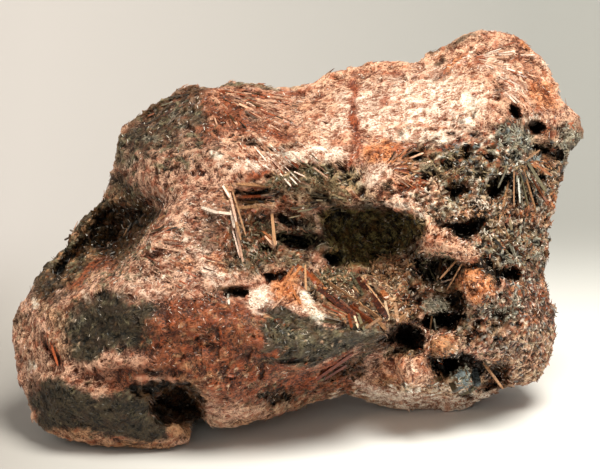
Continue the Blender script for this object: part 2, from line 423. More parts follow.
class Run(Enum):
    """How fibres run around a place: out from it, round it, or all one way."""

    OUT = "out"
    ROUND = "round"
    ALONG = "along"


# Grounds with a clear edge: the ground, its strength, and the outline in view points.
AREAS: tuple[tuple, ...] = (
    (UMBER, 0.85, ((108, 203), (125, 203), (150, 210), (163, 208), (150, 228), (141, 240), (130, 255), (118, 266),
        (96, 270), (78, 283), (62, 291), (45, 300), (38, 296), (44, 276), (60, 255), (78, 238), (92, 216))),
    (CHARCOAL, 0.7, ((108, 203), (118, 206), (116, 222), (98, 228), (84, 242), (70, 262), (52, 286), (42, 290),
        (46, 270), (62, 250), (82, 232), (95, 212))),
    (RUST, 0.75, ((84, 270), (92, 256), (108, 258), (118, 262), (108, 268), (92, 272), (80, 284), (72, 286))),
    (TAN, 0.5, ((84, 252), (94, 242), (100, 250), (92, 258))),
    (CHARCOAL, 0.95, ((95, 303), (108, 296), (120, 302), (135, 305), (150, 300), (160, 303), (158, 312), (148, 322),
        (146, 335), (135, 345), (118, 348), (108, 356), (88, 362), (75, 358), (68, 345), (62, 335), (60, 326),
        (75, 324), (88, 330), (95, 318))),
    (CHARCOAL, 0.9, ((264, 308), (278, 303), (300, 312), (325, 322), (345, 325), (365, 330), (366, 340), (345, 350),
        (325, 362), (316, 368), (290, 365), (262, 355), (262, 330))),
    (OLIVE, 0.4, ((270, 325), (300, 322), (330, 330), (300, 345), (275, 342))),
    (CHARCOAL, 0.9, ((35, 402), (48, 378), (66, 378), (75, 392), (100, 395), (112, 398), (130, 385), (145, 395),
        (150, 412), (165, 425), (168, 438), (150, 443), (110, 434), (60, 430), (42, 422))),
    (HOLLOW, 0.9, ((325, 213), (345, 210), (358, 211), (372, 208), (388, 211), (405, 213), (423, 220), (422, 234),
        (414, 242), (402, 250), (392, 256), (380, 262), (368, 268), (350, 266), (332, 264), (330, 240))),
    (OLIVE, 0.75, ((312, 272), (335, 266), (365, 270), (398, 262), (412, 270), (410, 300), (398, 325), (372, 326),
        (350, 324), (326, 308), (308, 288))),
    (UMBER, 0.6, ((318, 282), (345, 284), (392, 312), (384, 328), (356, 326), (328, 304))),
    (BROWN, 0.8, ((160, 312), (200, 300), (250, 306), (262, 318), (262, 350), (250, 366), (220, 372), (190, 372),
        (165, 362), (150, 350), (150, 335), (158, 322))),
)

# Blocks that stand out among the scattered grounds, given in the same way.
BLOCKS: tuple[tuple, ...] = (
    (VEIN, 1, ((351, 78), (357, 78), (358, 95), (356, 104), (358, 112), (358, 130), (358, 140), (354, 150),
        (351, 167), (348, 167), (351, 150), (354, 140), (351, 128), (350, 112), (351, 100))),
    (RUST, 0.6, ((350, 103), (357, 104), (358, 132), (353, 134), (350, 118))),
    (UMBER, 0.7, ((118, 206), (138, 205), (150, 208), (163, 209), (157, 218), (149, 227), (141, 239), (134, 248),
        (126, 257), (118, 264), (106, 268), (96, 262), (104, 246), (116, 232), (118, 218))),
    (RUST, 0.6, ((94, 258), (106, 254), (118, 258), (116, 265), (104, 269), (92, 273), (80, 284), (70, 292),
        (66, 288), (80, 276), (86, 266))),
    (WHITE, 0.9, ((300, 291), (305, 291), (309, 298), (313, 306), (320, 311), (326, 315), (326, 321), (319, 323),
        (311, 316), (304, 308), (301, 300))),
    (SALMON, 0.9, ((424, 232), (432, 224), (446, 228), (456, 240), (470, 250), (480, 254), (474, 262), (462, 262),
        (440, 255), (424, 252), (415, 242))),
    (ORANGE, 0.8, ((468, 264), (476, 266), (490, 280), (496, 288), (490, 298), (484, 306), (474, 304), (466, 296),
        (455, 283))),
    (TAN, 0.7, ((430, 338), (440, 334), (452, 335), (459, 342), (458, 352), (446, 352), (438, 357), (432, 354),
        (428, 346))),
    (SALMON, 0.8, ((392, 357), (408, 358), (424, 360), (432, 372), (432, 380), (420, 388), (400, 380), (384, 372))),
    (CREAM, 0.85, ((350, 378), (372, 384), (400, 392), (440, 396), (480, 394), (500, 388), (520, 386), (500, 400),
        (460, 412), (430, 414), (400, 410), (370, 398))),
    (BLACK, 0.75, ((384, 208), (406, 212), (423, 219), (421, 230), (412, 238), (402, 242), (392, 228))),
    (BLACK, 0.6, ((300, 204), (318, 202), (334, 206), (348, 212), (342, 228), (346, 244), (336, 250), (326, 240),
        (316, 226), (304, 216))),
    (CREAM, 0.5, ((380, 200), (404, 203), (424, 211), (430, 220), (423, 217), (406, 209), (385, 205))),
    (SLATE, 0.7, ((424, 300), (436, 298), (446, 302), (448, 311), (438, 316), (426, 314))),
    (BROWN, 0.75, ((205, 100), (232, 98), (262, 108), (296, 130), (290, 140), (262, 132), (236, 126), (212, 118))),
    (UMBER, 0.75, ((136, 386), (160, 381), (190, 384), (205, 398), (206, 414), (192, 423), (172, 414), (150, 404),
        (139, 396))),
)

# Grounds that are scattered through others like the stones of a mosaic: the ground, how much of the place it takes,
# the size of its spots in millimetres, and the place: x, y, half width, half height.
MIXES: tuple[tuple, ...] = (
    # the porous end
    (RUST, 0.22, 0.9, (490, 265, 110, 135)), (OLIVE, 0.24, 1.2, (480, 260, 100, 120)),
    (PALE, 0.16, 0.8, (490, 265, 110, 135)), (UMBER, 0.36, 1.0, (480, 265, 100, 125)),
    (SLATE, 0.2, 1.1, (500, 230, 70, 90)), (STEEL, 0.16, 0.9, (520, 320, 50, 60)),
    (STEEL, 0.16, 0.8, (500, 165, 70, 40)), (RUST, 0.2, 0.6, (530, 300, 34, 80)),
    (WHITE, 0.08, 0.5, (490, 250, 100, 130)), (RUST, 0.2, 0.7, (425, 395, 90, 16)),
    (OLIVE, 0.12, 0.9, (430, 392, 90, 16)), (WHITE, 0.3, 0.8, (430, 398, 90, 14)),
    (PALE, 0.3, 0.9, (535, 360, 30, 30)), (PALE, 0.2, 0.7, (310, 186, 42, 18)), (TAN, 0.25, 0.8, (310, 186, 42, 18)),
    (UMBER, 0.18, 0.7, (540, 340, 30, 50)),
    # the recess in the middle and the slope below the main hollow
    (RUST, 0.2, 0.8, (270, 225, 46, 50)), (UMBER, 0.25, 0.9, (270, 225, 46, 50)),
    (PALE, 0.12, 0.6, (265, 225, 46, 50)), (UMBER, 0.16, 0.8, (365, 285, 60, 36)),
    (RUST, 0.22, 0.8, (365, 290, 60, 36)), (TAN, 0.25, 0.7, (360, 285, 60, 36)),
    (PALE, 0.1, 0.5, (360, 290, 60, 36)),
    # the charcoal patches, the nose and the block
    (OLIVE, 0.12, 1.0, (110, 325, 60, 40)), (UMBER, 0.2, 0.9, (190, 140, 60, 50)),
    (OLIVE, 0.25, 1.0, (315, 340, 60, 30)), (PALE, 0.02, 0.5, (315, 340, 60, 30)),
    (OLIVE, 0.1, 1.0, (100, 412, 75, 34)),
    # the flank, the lobes and the band
    (RUST, 0.2, 1.6, (215, 345, 70, 50)), (TAN, 0.16, 1.0, (210, 345, 70, 50)),
    (UMBER, 0.04, 0.9, (215, 350, 75, 55)), (PALE, 0.1, 0.5, (240, 390, 60, 36)),
    (RUST, 0.25, 1.0, (290, 385, 70, 24)), (OLIVE, 0.2, 1.0, (300, 395, 90, 20)),
    (CREAM, 0.04, 0.6, (190, 245, 90, 60)), (OLIVE, 0.1, 0.7, (190, 235, 50, 40)),
    (VEIN, 0.08, 0.9, (400, 110, 200, 60)), (BROWN, 0.18, 0.8, (190, 235, 90, 60)),
    (UMBER, 0.14, 1.1, (40, 345, 40, 70)), (PALE, 0.2, 0.6, (40, 335, 36, 36)),
    (OLIVE, 0.25, 1.2, (150, 140, 60, 50)), (TAN, 0.22, 1.0, (90, 245, 60, 50)),
    (OLIVE, 0.34, 0.9, (100, 235, 56, 46)),
)

# Hollows with a clear edge: how deep, in millimetres, the ground in them, its strength, and the outline.
HOLES: tuple[tuple, ...] = (
    (2.2, BLACK, 0.9, ((511, 106), (517, 108), (524, 117), (522, 122), (516, 117))),
    (3.0, BLACK, 0.95, ((528, 127), (534, 121), (540, 122), (546, 128), (541, 136), (534, 133))),
    (2.6, BLACK, 0.95, ((533, 146), (540, 144), (547, 150), (556, 153), (554, 158), (545, 156), (536, 152))),
    (3.4, BLACK, 0.95, ((496, 177), (503, 173), (512, 173), (511, 181), (504, 190), (496, 196), (489, 197),
        (490, 189), (494, 182))),
    (3.0, BLACK, 0.95, ((447, 191), (455, 185), (465, 184), (466, 190), (460, 196), (452, 200), (448, 196))),
    (2.2, BLACK, 0.9, ((411, 153), (418, 152), (424, 156), (424, 162), (417, 161), (412, 158))),
    (1.6, BLACK, 0.9, ((442, 164), (447, 162), (446, 170), (441, 171))),
    (2.0, UMBER, 0.9, ((463, 151), (469, 153), (469, 164), (465, 163))),
    (1.6, BLACK, 0.9, ((474, 173), (481, 174), (487, 171), (486, 177), (478, 179))),
    (3.0, BLACK, 0.9, ((440, 226), (450, 222), (462, 222), (478, 216), (492, 218), (484, 226), (474, 234),
        (466, 241), (458, 238), (452, 232))),
    (1.6, BLACK, 0.9, ((514, 174), (517, 176), (519, 205), (516, 212), (513, 195))),
    (1.6, BLACK, 0.9, ((523, 170), (527, 174), (533, 190), (538, 207), (533, 203), (526, 188))),
    (1.6, UMBER, 0.9, ((538, 165), (544, 172), (550, 186), (546, 184), (540, 176))),
    (1.2, UMBER, 0.9, ((510, 230), (530, 228), (550, 229), (550, 232), (530, 232), (512, 233))),
    (3.0, BLACK, 0.9, ((445, 259), (466, 262), (458, 274), (447, 289), (440, 282), (448, 270))),
    (3.0, BLACK, 0.75, ((414, 256), (428, 255), (446, 260), (440, 272), (434, 284), (424, 280), (416, 270))),
    (1.4, UMBER, 0.8, ((424, 253), (440, 257), (462, 264), (474, 264), (470, 270), (458, 268), (440, 262))),
    (3.2, BLACK, 0.97, ((421, 322), (428, 315), (440, 312), (455, 311), (467, 314), (466, 320), (458, 322),
        (455, 330), (440, 329), (430, 330), (422, 328))),
    (3.0, BLACK, 0.9, ((388, 327), (400, 323), (415, 325), (424, 332), (426, 345), (420, 352), (408, 349),
        (400, 342), (392, 345), (382, 342), (374, 343), (380, 338), (388, 334))),
    (3.2, BLACK, 0.95, ((428, 356), (438, 358), (452, 354), (462, 351), (472, 355), (483, 362), (486, 370),
        (478, 377), (470, 368), (460, 369), (452, 372), (446, 380), (440, 372), (432, 368))),
    (2.6, UMBER, 0.9, ((487, 372), (494, 364), (504, 361), (512, 366), (505, 378), (496, 388), (486, 392),
        (481, 390), (486, 380))),
    (2.6, BLACK, 0.95, ((500, 270), (510, 269), (520, 272), (519, 279), (510, 280), (503, 278))),
    (1.8, UMBER, 0.9, ((470, 265), (480, 258), (490, 256), (496, 266), (503, 276), (500, 285), (490, 278),
        (480, 270))),
    (1.0, UMBER, 0.9, ((455, 396), (462, 392), (472, 394), (474, 398), (465, 399))),
    (2.0, UMBER, 0.85, ((446, 287), (455, 284), (463, 293), (468, 305), (462, 312), (450, 306), (444, 296))),
    (1.6, BLACK, 0.9, ((499, 256), (506, 249), (516, 246), (509, 253), (503, 261))),
    (1.4, BLACK, 0.9, ((524, 238), (540, 238), (544, 246), (536, 247))),
    (1.2, BLACK, 0.8, ((495, 306), (505, 318), (510, 323), (500, 322), (493, 315))),
    (0.9, UMBER, 0.9, ((474, 333), (480, 332), (484, 335), (478, 336))),
    (1.9, UMBER, 0.75, ((320, 285), (335, 281), (358, 279), (372, 285), (393, 311), (386, 323), (366, 325),
        (346, 315), (328, 302))),
    (2.4, HOLLOW, 0.9, ((333, 205), (345, 212), (358, 212), (372, 210), (388, 213), (408, 216), (427, 221),
        (425, 236), (412, 243), (400, 250), (390, 256), (378, 262), (370, 268), (355, 264), (342, 264), (330, 262),
        (338, 252), (330, 240), (322, 228), (318, 215))),
    (2.4, BLACK, 0.9, ((308, 192), (318, 190), (330, 196), (334, 204), (322, 202), (312, 198))),
    (3.0, BLACK, 0.97, ((278, 233), (290, 234), (305, 236), (312, 244), (306, 252), (298, 247), (285, 244),
        (277, 240))),
    (2.4, BLACK, 0.95, ((322, 256), (335, 254), (343, 260), (340, 267), (328, 266))),
    (1.8, UMBER, 0.95, ((232, 190), (252, 190), (275, 188), (268, 195), (250, 194), (236, 194))),
    (1.8, UMBER, 0.95, ((234, 199), (250, 200), (265, 199), (264, 206), (252, 205), (238, 203))),
    (1.6, UMBER, 0.9, ((277, 217), (288, 216), (296, 222), (290, 228), (280, 224))),
    (2.0, BLACK, 0.85, ((222, 290), (232, 293), (246, 289), (247, 295), (236, 298), (226, 296))),
    (1.2, UMBER, 0.9, ((256, 244), (268, 246), (280, 252), (274, 255), (262, 250))),
    (1.2, UMBER, 0.8, ((262, 274), (280, 272), (290, 268), (284, 280), (268, 284))),
    (1.4, UMBER, 0.9, ((311, 286), (316, 288), (318, 305), (312, 303))),
    (3.0, UMBER, 0.95, ((150, 381), (185, 381), (192, 388), (204, 398), (205, 415), (195, 422), (180, 418),
        (160, 405), (148, 400), (142, 392))),
    (0.8, UMBER, 0.9, ((128, 385), (146, 381), (166, 381), (166, 404), (150, 403), (139, 399), (130, 392))),
    (0.7, RUST, 0.9, ((40, 338), (46, 342), (58, 358), (62, 366), (52, 358))),
    (1.8, UMBER, 0.6, ((108, 206), (125, 205), (150, 212), (160, 211), (146, 229), (137, 241), (126, 255),
        (112, 262), (96, 250), (84, 245), (70, 262), (55, 282), (50, 272), (66, 252), (84, 236), (97, 218))),
    (1.4, BLACK, 0.8, ((54, 262), (66, 262), (62, 276), (52, 284))),
    (1.0, BLACK, 0.7, ((96, 206), (108, 210), (104, 224), (90, 230))),
    (1.2, UMBER, 0.9, ((266, 397), (285, 393), (296, 396), (280, 404), (268, 408))),
    (1.4, UMBER, 0.8, ((318, 376), (352, 356), (366, 350), (360, 366), (345, 376), (330, 384))),
    (0.6, BLACK, 0.6, ((245, 140), (262, 146), (284, 150), (290, 154), (270, 153), (250, 146))),
)

# How the fibres run: x, y, reach, the run, its direction in degrees (for ALONG), and their spread in radians.
FIBRE_RUNS: tuple[tuple, ...] = (
    (205, 88, 85, Run.OUT, 0, 0.22), (500, 118, 52, Run.ROUND, 0, 0.4), (425, 105, 50, Run.ALONG, 4, 0.6),
    (320, 115, 45, Run.ALONG, 8, 0.7), (170, 165, 45, Run.ALONG, -35, 0.6), (180, 250, 50, Run.ALONG, -18, 0.7),
    (385, 332, 46, Run.OUT, 0, 0.35), (360, 202, 42, Run.OUT, 0, 0.25), (318, 182, 26, Run.ALONG, -38, 0.35),
    (172, 202, 30, Run.OUT, 0, 0.4), (52, 345, 30, Run.ALONG, -52, 0.5), (415, 370, 24, Run.ALONG, -38, 1.6),
    (280, 372, 44, Run.ALONG, 20, 2.6), (345, 372, 22, Run.ALONG, -30, 2.2), (440, 398, 50, Run.ALONG, 6, 1.2),
    (520, 268, 30, Run.OUT, 0, 1.6), (545, 330, 40, Run.ALONG, -72, 2.2), (518, 163, 42, Run.OUT, 0, 0.25),
    (447, 246, 26, Run.ALONG, -22, 1.4), (490, 320, 50, Run.ALONG, 20, 2.2), (250, 200, 26, Run.ALONG, 0, 0.3),
    (200, 340, 60, Run.ALONG, -20, 1.3), (110, 330, 50, Run.ALONG, 30, 1.4), (100, 415, 50, Run.ALONG, -5, 1.3),
    (300, 392, 40, Run.ALONG, 60, 1.6), (235, 392, 26, Run.ALONG, 20, 1.0), (280, 285, 22, Run.ALONG, 60, 0.4),
    (470, 165, 36, Run.ALONG, 30, 1.3), (476, 282, 22, Run.ALONG, -45, 1.8), (500, 215, 40, Run.ALONG, 20, 1.6),
)

# Small hollows (below 0) and swellings (above 0) of the display side: x, y, half width, half height, turn, millimetres.
RELIEF: tuple[tuple[float, ...], ...] = (
    # the dark recess behind the ridge, and the ridge's edge
    (108, 232, 46, 17, 42, -2.6), (142, 212, 24, 9, 30, -1.6), (70, 264, 20, 14, 45, -2.0),
    (100, 212, 14, 9, 40, -1.2), (150, 246, 42, 9, 40, 1.1), (86, 292, 28, 8, 30, 0.7), (120, 182, 14, 10, 0, -0.8),
    (130, 158, 8, 16, 0, 0.5),
    # the fibrous recess in the middle and the rim over the main hollow
    (262, 238, 28, 24, 0, -1.8), (250, 197, 28, 7, 0, -1.6), (250, 193, 22, 2.5, 0, -1.0),
    (240, 250, 12, 9, 0, -1.2), (300, 222, 14, 8, -20, -1.6), (283, 216, 8, 5, 0, -1), (345, 190, 28, 5, -32, 1.2),
    (318, 178, 22, 5, 0, 0.9), (302, 241, 24, 9, -8, -2.4), (334, 256, 12, 6, 0, -2), (276, 205, 12, 8, 30, 0.8),
    (270, 240, 9, 7, 0, 0.8), (218, 212, 15, 3.5, -8, 0.7), (236, 291, 16, 5, 8, -1.8), (222, 232, 8, 20, -12, 0.6),
    (325, 215, 9, 5, -20, -1.4),
    # the porous corner
    (515, 112, 5, 9, 30, -2.8), (536, 128, 10, 7, -10, -2.8), (549, 151, 15, 7, -25, -2.8),
    (499, 187, 13, 10, 20, -3.4), (456, 190, 11, 8, 0, -2.8), (417, 158, 9, 5, -10, -2.2), (445, 166, 6, 5, 0, -2.2),
    (468, 153, 4, 9, 0, -2.2), (481, 175, 6, 4, 20, -1.8), (406, 183, 7, 3, 10, -1.4), (515, 140, 16, 9, -30, 1.0),
    (570, 138, 9, 12, 0, 0.8), (430, 176, 12, 5, 20, -1.2), (475, 190, 5, 8, 0, 0.8), (490, 158, 8, 6, 0, -1.4),
    (472, 208, 10, 5, 0, -1.0), (512, 188, 3, 18, 0, -1.4), (524, 190, 3, 20, 18, -1.4), (538, 206, 3, 16, 28, -1.2),
    (532, 172, 4, 10, 45, -1.2), (505, 228, 40, 3, 2, -1.0), (560, 160, 5, 10, 0, -1.0), (525, 122, 6, 5, 0, 0.6),
    (540, 140, 9, 5, 0, 0.8),
    # the wedge-shaped block, the hollows around it and the orange block
    (462, 231, 20, 9, 20, -3), (444, 224, 10, 6, 0, -1.8), (447, 246, 25, 6, -24, 1.0),
    (446, 270, 20, 12, -20, -2.6), (508, 272, 13, 8, -15, -2.4), (476, 281, 12, 18, 28, 1.4),
    (497, 258, 5, 10, -20, -1.6), (520, 246, 22, 14, 0, 0.8), (511, 250, 4, 8, 30, -1.6), (530, 252, 4, 6, 0, -1.4),
    (418, 262, 9, 16, 0, -1.8), (456, 302, 8, 8, 0, -2.0), (440, 321, 16, 9, -10, -2.8), (434, 307, 10, 7, 0, 0.8),
    (500, 314, 14, 7, 0, -1.6), (490, 300, 5, 5, 0, -1.2), (415, 300, 10, 14, 0, -1.4), (480, 322, 8, 6, 0, -1.4),
    (520, 292, 10, 7, 0, 0.7), (535, 300, 6, 10, 0, -1.0), (545, 268, 5, 14, 0, -1.2), (521, 310, 8, 4, 20, -0.8),
    # the lower right
    (390, 344, 20, 9, 10, -2.6), (445, 366, 20, 9, 0, -2.8), (500, 376, 10, 13, 20, -2.4), (443, 345, 14, 9, 5, 1.2),
    (465, 379, 10, 11, 0, 1.0), (412, 368, 22, 13, -20, 1.0), (470, 335, 6, 8, 0, -1.2), (415, 350, 10, 5, 0, -1.0),
    (468, 398, 12, 3, 5, -0.8), (375, 360, 10, 8, 0, -1.4), (520, 345, 16, 4, 25, -0.7), (540, 335, 10, 6, -30, 0.7),
    # the nose, the lobe and the foot
    (352, 334, 24, 6, 10, 0.9), (315, 340, 44, 9, 6, 0.9), (332, 366, 36, 7, 20, -1.8), (352, 372, 16, 9, 0, -1.8),
    (276, 392, 20, 7, 5, -1.6), (300, 384, 14, 5, 0, -0.8), (225, 392, 24, 9, 0, 0.8), (250, 421, 20, 4, 8, 0.5),
    (300, 360, 30, 3, 5, -0.8), (262, 372, 4, 14, 0, -0.6), (160, 374, 24, 5, 0, -1.0),
    (204, 346, 15, 10, -20, -1.0), (90, 385, 46, 3, -4, -0.35), (178, 430, 12, 8, 20, 0.8),
    (140, 378, 14, 6, 0, 0.6), (52, 352, 4, 18, 38, -0.7), (320, 315, 8, 5, -15, 0.6), (262, 300, 10, 9, 0, 0.5),
    (250, 143, 12, 4, -20, -0.5), (292, 148, 14, 4, 5, -0.5), (140, 110, 30, 6, 32, 0.6), (200, 118, 10, 7, 0, -0.8),
    (170, 124, 24, 4, 30, -0.7),
)


def vertex_array(mesh: bpy.types.Mesh, name: str = "co") -> np.ndarray:
    """The positions or normals of a mesh's vertices as rows."""
    values = np.empty(len(mesh.vertices) * 3)
    mesh.vertices.foreach_get(name, values)
    return values.reshape(-1, 3)


def store(mesh: bpy.types.Mesh, name: str, values: np.ndarray) -> None:
    """Stores a number, a direction or a colour on each vertex of a mesh."""
    if values.ndim == 1:
        mesh.attributes.new(name, "FLOAT", "POINT").data.foreach_set("value", values.astype(np.float32))
    elif name in ("dark", "light"):
        rows = np.concatenate([values, np.ones((len(values), 1))], 1).astype(np.float32)
        mesh.attributes.new(name, "FLOAT_COLOR", "POINT").data.foreach_set("color", rows.ravel())
    else:
        mesh.attributes.new(name, "FLOAT_VECTOR", "POINT").data.foreach_set("vector", values.astype(np.float32).ravel())


def smooth_step(values: np.ndarray, low: float, high: float) -> np.ndarray:
    """0 below low, 1 above high, and eased between."""
    share = np.clip((values - low) / (high - low), 0, 1)
    return share * share * (3 - 2 * share)


def unit(rows: np.ndarray) -> np.ndarray:
    """Rows made one long."""
    return rows / np.maximum(np.linalg.norm(rows, axis=1, keepdims=True), 1e-9)


def depth_in(seen: np.ndarray, corners: tuple[tuple[float, float], ...]) -> np.ndarray:
    """How far inside an outline each view point lies; outside it is below 0."""
    near, inside = np.full(len(seen), 1e9), np.zeros(len(seen), bool)
    x, y = seen[:, 0], seen[:, 1]
    for (x0, y0), (x1, y1) in zip(corners, corners[1:] + corners[:1]):
        dx, dy = x1 - x0, y1 - y0
        share = np.clip(((x - x0) * dx + (y - y0) * dy) / (dx * dx + dy * dy), 0, 1)
        near = np.minimum(near, np.hypot(x - x0 - share * dx, y - y0 - share * dy))
        if dy:
            inside ^= ((y0 > y) != (y1 > y)) & (x < x0 + (y - y0) * dx / dy)
    return np.where(inside, near, -near)


def evaluated_mesh(obj: bpy.types.Object) -> bpy.types.Mesh:
    """A plain mesh of what an object's modifiers give."""
    bpy.context.view_layer.update()
    return bpy.data.meshes.new_from_object(obj.evaluated_get(bpy.context.evaluated_depsgraph_get()))


def log_piece(name: str, mesh: bpy.types.Mesh) -> None:
    """Notes a piece and how many triangles it has."""
    LOG.info("%s: %d triangles", name, sum(len(face.vertices) - 2 for face in mesh.polygons))


def new_object(name: str, mesh: bpy.types.Mesh) -> bpy.types.Object:
    """Puts a mesh into the scene under a name."""
    obj = bpy.data.objects.new(name, mesh)
    mesh.name = name
    bpy.context.scene.collection.objects.link(obj)
    return obj


@dataclass
class StoneField:
    """Reads the patches and the runs of fibre at any set of points on the lump."""

    edge_noise: float = 5.0
    frayed: float = 1.5
    crisp: float = 0.45
    backs_scale: float = 9.0
    bundle_mm: float = 0.95
    front_depth_mm: float = 12.5
    front_lean_mm: float = 7.0
    front_blend_mm: float = 3.0

    def front_share(self, points: np.ndarray, normals: np.ndarray) -> np.ndarray:
        """How far each point belongs to the display side, from 0 to 1."""
        out = VIEW.display(points)[:, 2]
        facing = normals @ VIEW.axes()[2]
        return np.clip((out + self.front_depth_mm + self.front_lean_mm * facing) / self.front_blend_mm, 0, 1)

    @staticmethod
    def porous(points: np.ndarray) -> np.ndarray:
        """How far each point belongs to the porous end, from 0 to 1."""
        seen = VIEW.seen_at(points)
        return smooth_step(seen[:, 0], 370, 420) * smooth_step(seen[:, 1], 130, 165)

    def ground(self, points: np.ndarray, normals: np.ndarray) -> dict[str, np.ndarray]:
        """The ground at each point.

        Args:
            points: rows of frame points in metres.
            normals: their outward directions.

        Returns:
            Arrays named dark, light, fleck, felt, lift and rough.
        """
        exact = VIEW.seen_at(points)
        wobble = np.array([noise.noise_vector(Vector(p) / (2.6 * MM))
                           + 0.6 * noise.noise_vector(Vector(p) / (0.9 * MM)) for p in points])
        seen = exact + self.edge_noise * wobble[:, :2]
        values = self.tone_row(PINK)[None, :] * np.ones((len(points), 1))

        def lay(kind: Ground, share: np.ndarray) -> None:
            """Lays a kind of ground over what is there, by its share at each point."""
            values[:] += share[:, None] * (self.tone_row(kind) - values)

        for kind, spots in PATCHES:
            for *oval, strength in spots:
                lay(kind, strength * self.inside(seen, *oval, wobble[:, 2]))
        frayed = exact + self.frayed * self.edge_noise * wobble[:, :2]
        crisp = exact + self.crisp * self.edge_noise * wobble[:, :2]
        for kind, strength, corners in AREAS:
            lay(kind, strength * smooth_step(depth_in(frayed, corners), -2.0, 2.0))
        for number, (kind, part, size, place) in enumerate(MIXES):
            lay(kind, self.scattered(points, seen, number, part, size, place, wobble[:, 2]))
        for kind, strength, corners in BLOCKS:
            lay(kind, 0.8 * strength * smooth_step(depth_in(crisp, corners), -2.0, 2.0))
        for _, kind, strength, corners in HOLES:
            lay(kind, strength * smooth_step(depth_in(crisp, corners), -1.5, 1.5))
        front = self.front_share(points, normals)[:, None]
        values = self.hidden_side(points) * (1 - front) + values * front
        return {"dark": values[:, :3], "light": values[:, 3:6], "fleck": values[:, 6:9], "felt": values[:, 9],
                "lift": values[:, 10], "rough": values[:, 11]}

    @staticmethod
    def tone_row(kind: Ground) -> np.ndarray:
        """The twelve numbers of a kind of ground: dark, light, fleck, felt, lift, rough."""
        tone = kind.value
        return np.array((*linear(tone.dark), *linear(tone.light), *linear(tone.fleck),
                         tone.felt, tone.lift, tone.rough))

    def scattered(self, points: np.ndarray, seen: np.ndarray, number: int, part: float, size: float,
                  place: tuple[float, ...], fray: np.ndarray) -> np.ndarray:
        """How far each point belongs to a scattered ground: 1 in its spots and 0 between them."""
        share = self.inside(seen, *place, 0, fray)
        shift = Vector((13.7 * number, 5.3 * number, 2.1))
        for k in np.flatnonzero(share):
            share[k] *= noise.fractal(Vector(points[k]) / (size * MM) + shift, 1.0, 2.0, 2)
        return 0.9 * smooth_step(share, 0.55 - 1.6 * part, 0.75 - 1.6 * part)

    @staticmethod
    def inside(seen: np.ndarray, x: float, y: float, wide: float, high: float, turn: float,
               fray: np.ndarray) -> np.ndarray:
        """1 well inside an oval patch and 0 outside, with a frayed edge."""
        angle = math.radians(turn)
        dx, dy = seen[:, 0] - x, seen[:, 1] - y
        along = (dx * math.cos(angle) - dy * math.sin(angle)) / wide
        across = (dx * math.sin(angle) + dy * math.cos(angle)) / high
        reach = np.sqrt(along ** 2 + across ** 2) + 0.35 * fray
        return np.clip((1.25 - reach) / 0.5, 0, 1)

    def hidden_side(self, points: np.ndarray) -> np.ndarray:
        """The ground of the back and the underside: the same kinds, laid by chance."""
        kinds = (PINK, BROWN, SALMON, CHARCOAL, RUST, TAN)
        rows = np.array([self.tone_row(kind) for kind in kinds])
        scores = np.array([[noise.noise(Vector(p) / (self.backs_scale * MM) + Vector((31.7 * k, 5.1 * k, 9.3)))
                            for k in range(len(kinds))] for p in points])
        weights = np.exp(9 * (scores + np.array((0.10, 0.05, 0.02, -0.02, -0.04, 0.0))))
        return (weights / weights.sum(1, keepdims=True)) @ rows

    def fibres(self, points: np.ndarray, normals: np.ndarray) -> np.ndarray:
        """The way that the fibres lie at each point, bundle by bundle.

        Args:
            points: rows of frame points in metres.
            normals: their outward directions.

        Returns:
            Unit directions along the surface.
        """
        seen = VIEW.seen_at(points)
        base = np.array([noise.noise(Vector(p) / (9 * MM)) for p in points]) * math.pi * 2
        total = 0.12 * np.stack([np.cos(base * 2), np.sin(base * 2)], 1)
        spread, weight_sum = np.full(len(points), 0.15), np.full(len(points), 0.12)
        for x, y, reach, run, degrees, fan in FIBRE_RUNS:
            dx, dy = seen[:, 0] - x, y - seen[:, 1]
            weight = np.exp(-(dx ** 2 + dy ** 2) / reach ** 2)
            angle = np.full(len(points), math.radians(degrees))
            if run is not Run.ALONG:
                angle = np.arctan2(dy, dx) + (math.pi / 2 if run is Run.ROUND else 0)
            total += weight[:, None] * np.stack([np.cos(angle * 2), np.sin(angle * 2)], 1)
            spread += weight * fan
            weight_sum += weight
        angle = np.arctan2(total[:, 1], total[:, 0]) / 2 + self.bundle_turns(points) * spread / weight_sum
        axes = VIEW.axes()
        ways = np.cos(angle)[:, None] * axes[0] + np.sin(angle)[:, None] * axes[1]
        ways -= normals * (ways * normals).sum(1, keepdims=True)
        steep = np.linalg.norm(ways, axis=1, keepdims=True) < 0.05
        return unit(np.where(steep, axes[1] - normals * (normals @ axes[1])[:, None], ways))

    def bundle_turns(self, points: np.ndarray) -> np.ndarray:
        """A turn from -1.5 to 1.5 that all fibres of one bundle share."""
        turns = []
        for p in points:
            spot = Vector(p) / (self.bundle_mm * MM)
            spot += 0.5 * noise.noise_vector(spot * 0.8)
            turns.append(noise.noise(noise.voronoi(spot)[1][0] * 5.3) * 2.6)
        return np.clip(np.array(turns), -1.5, 1.5)


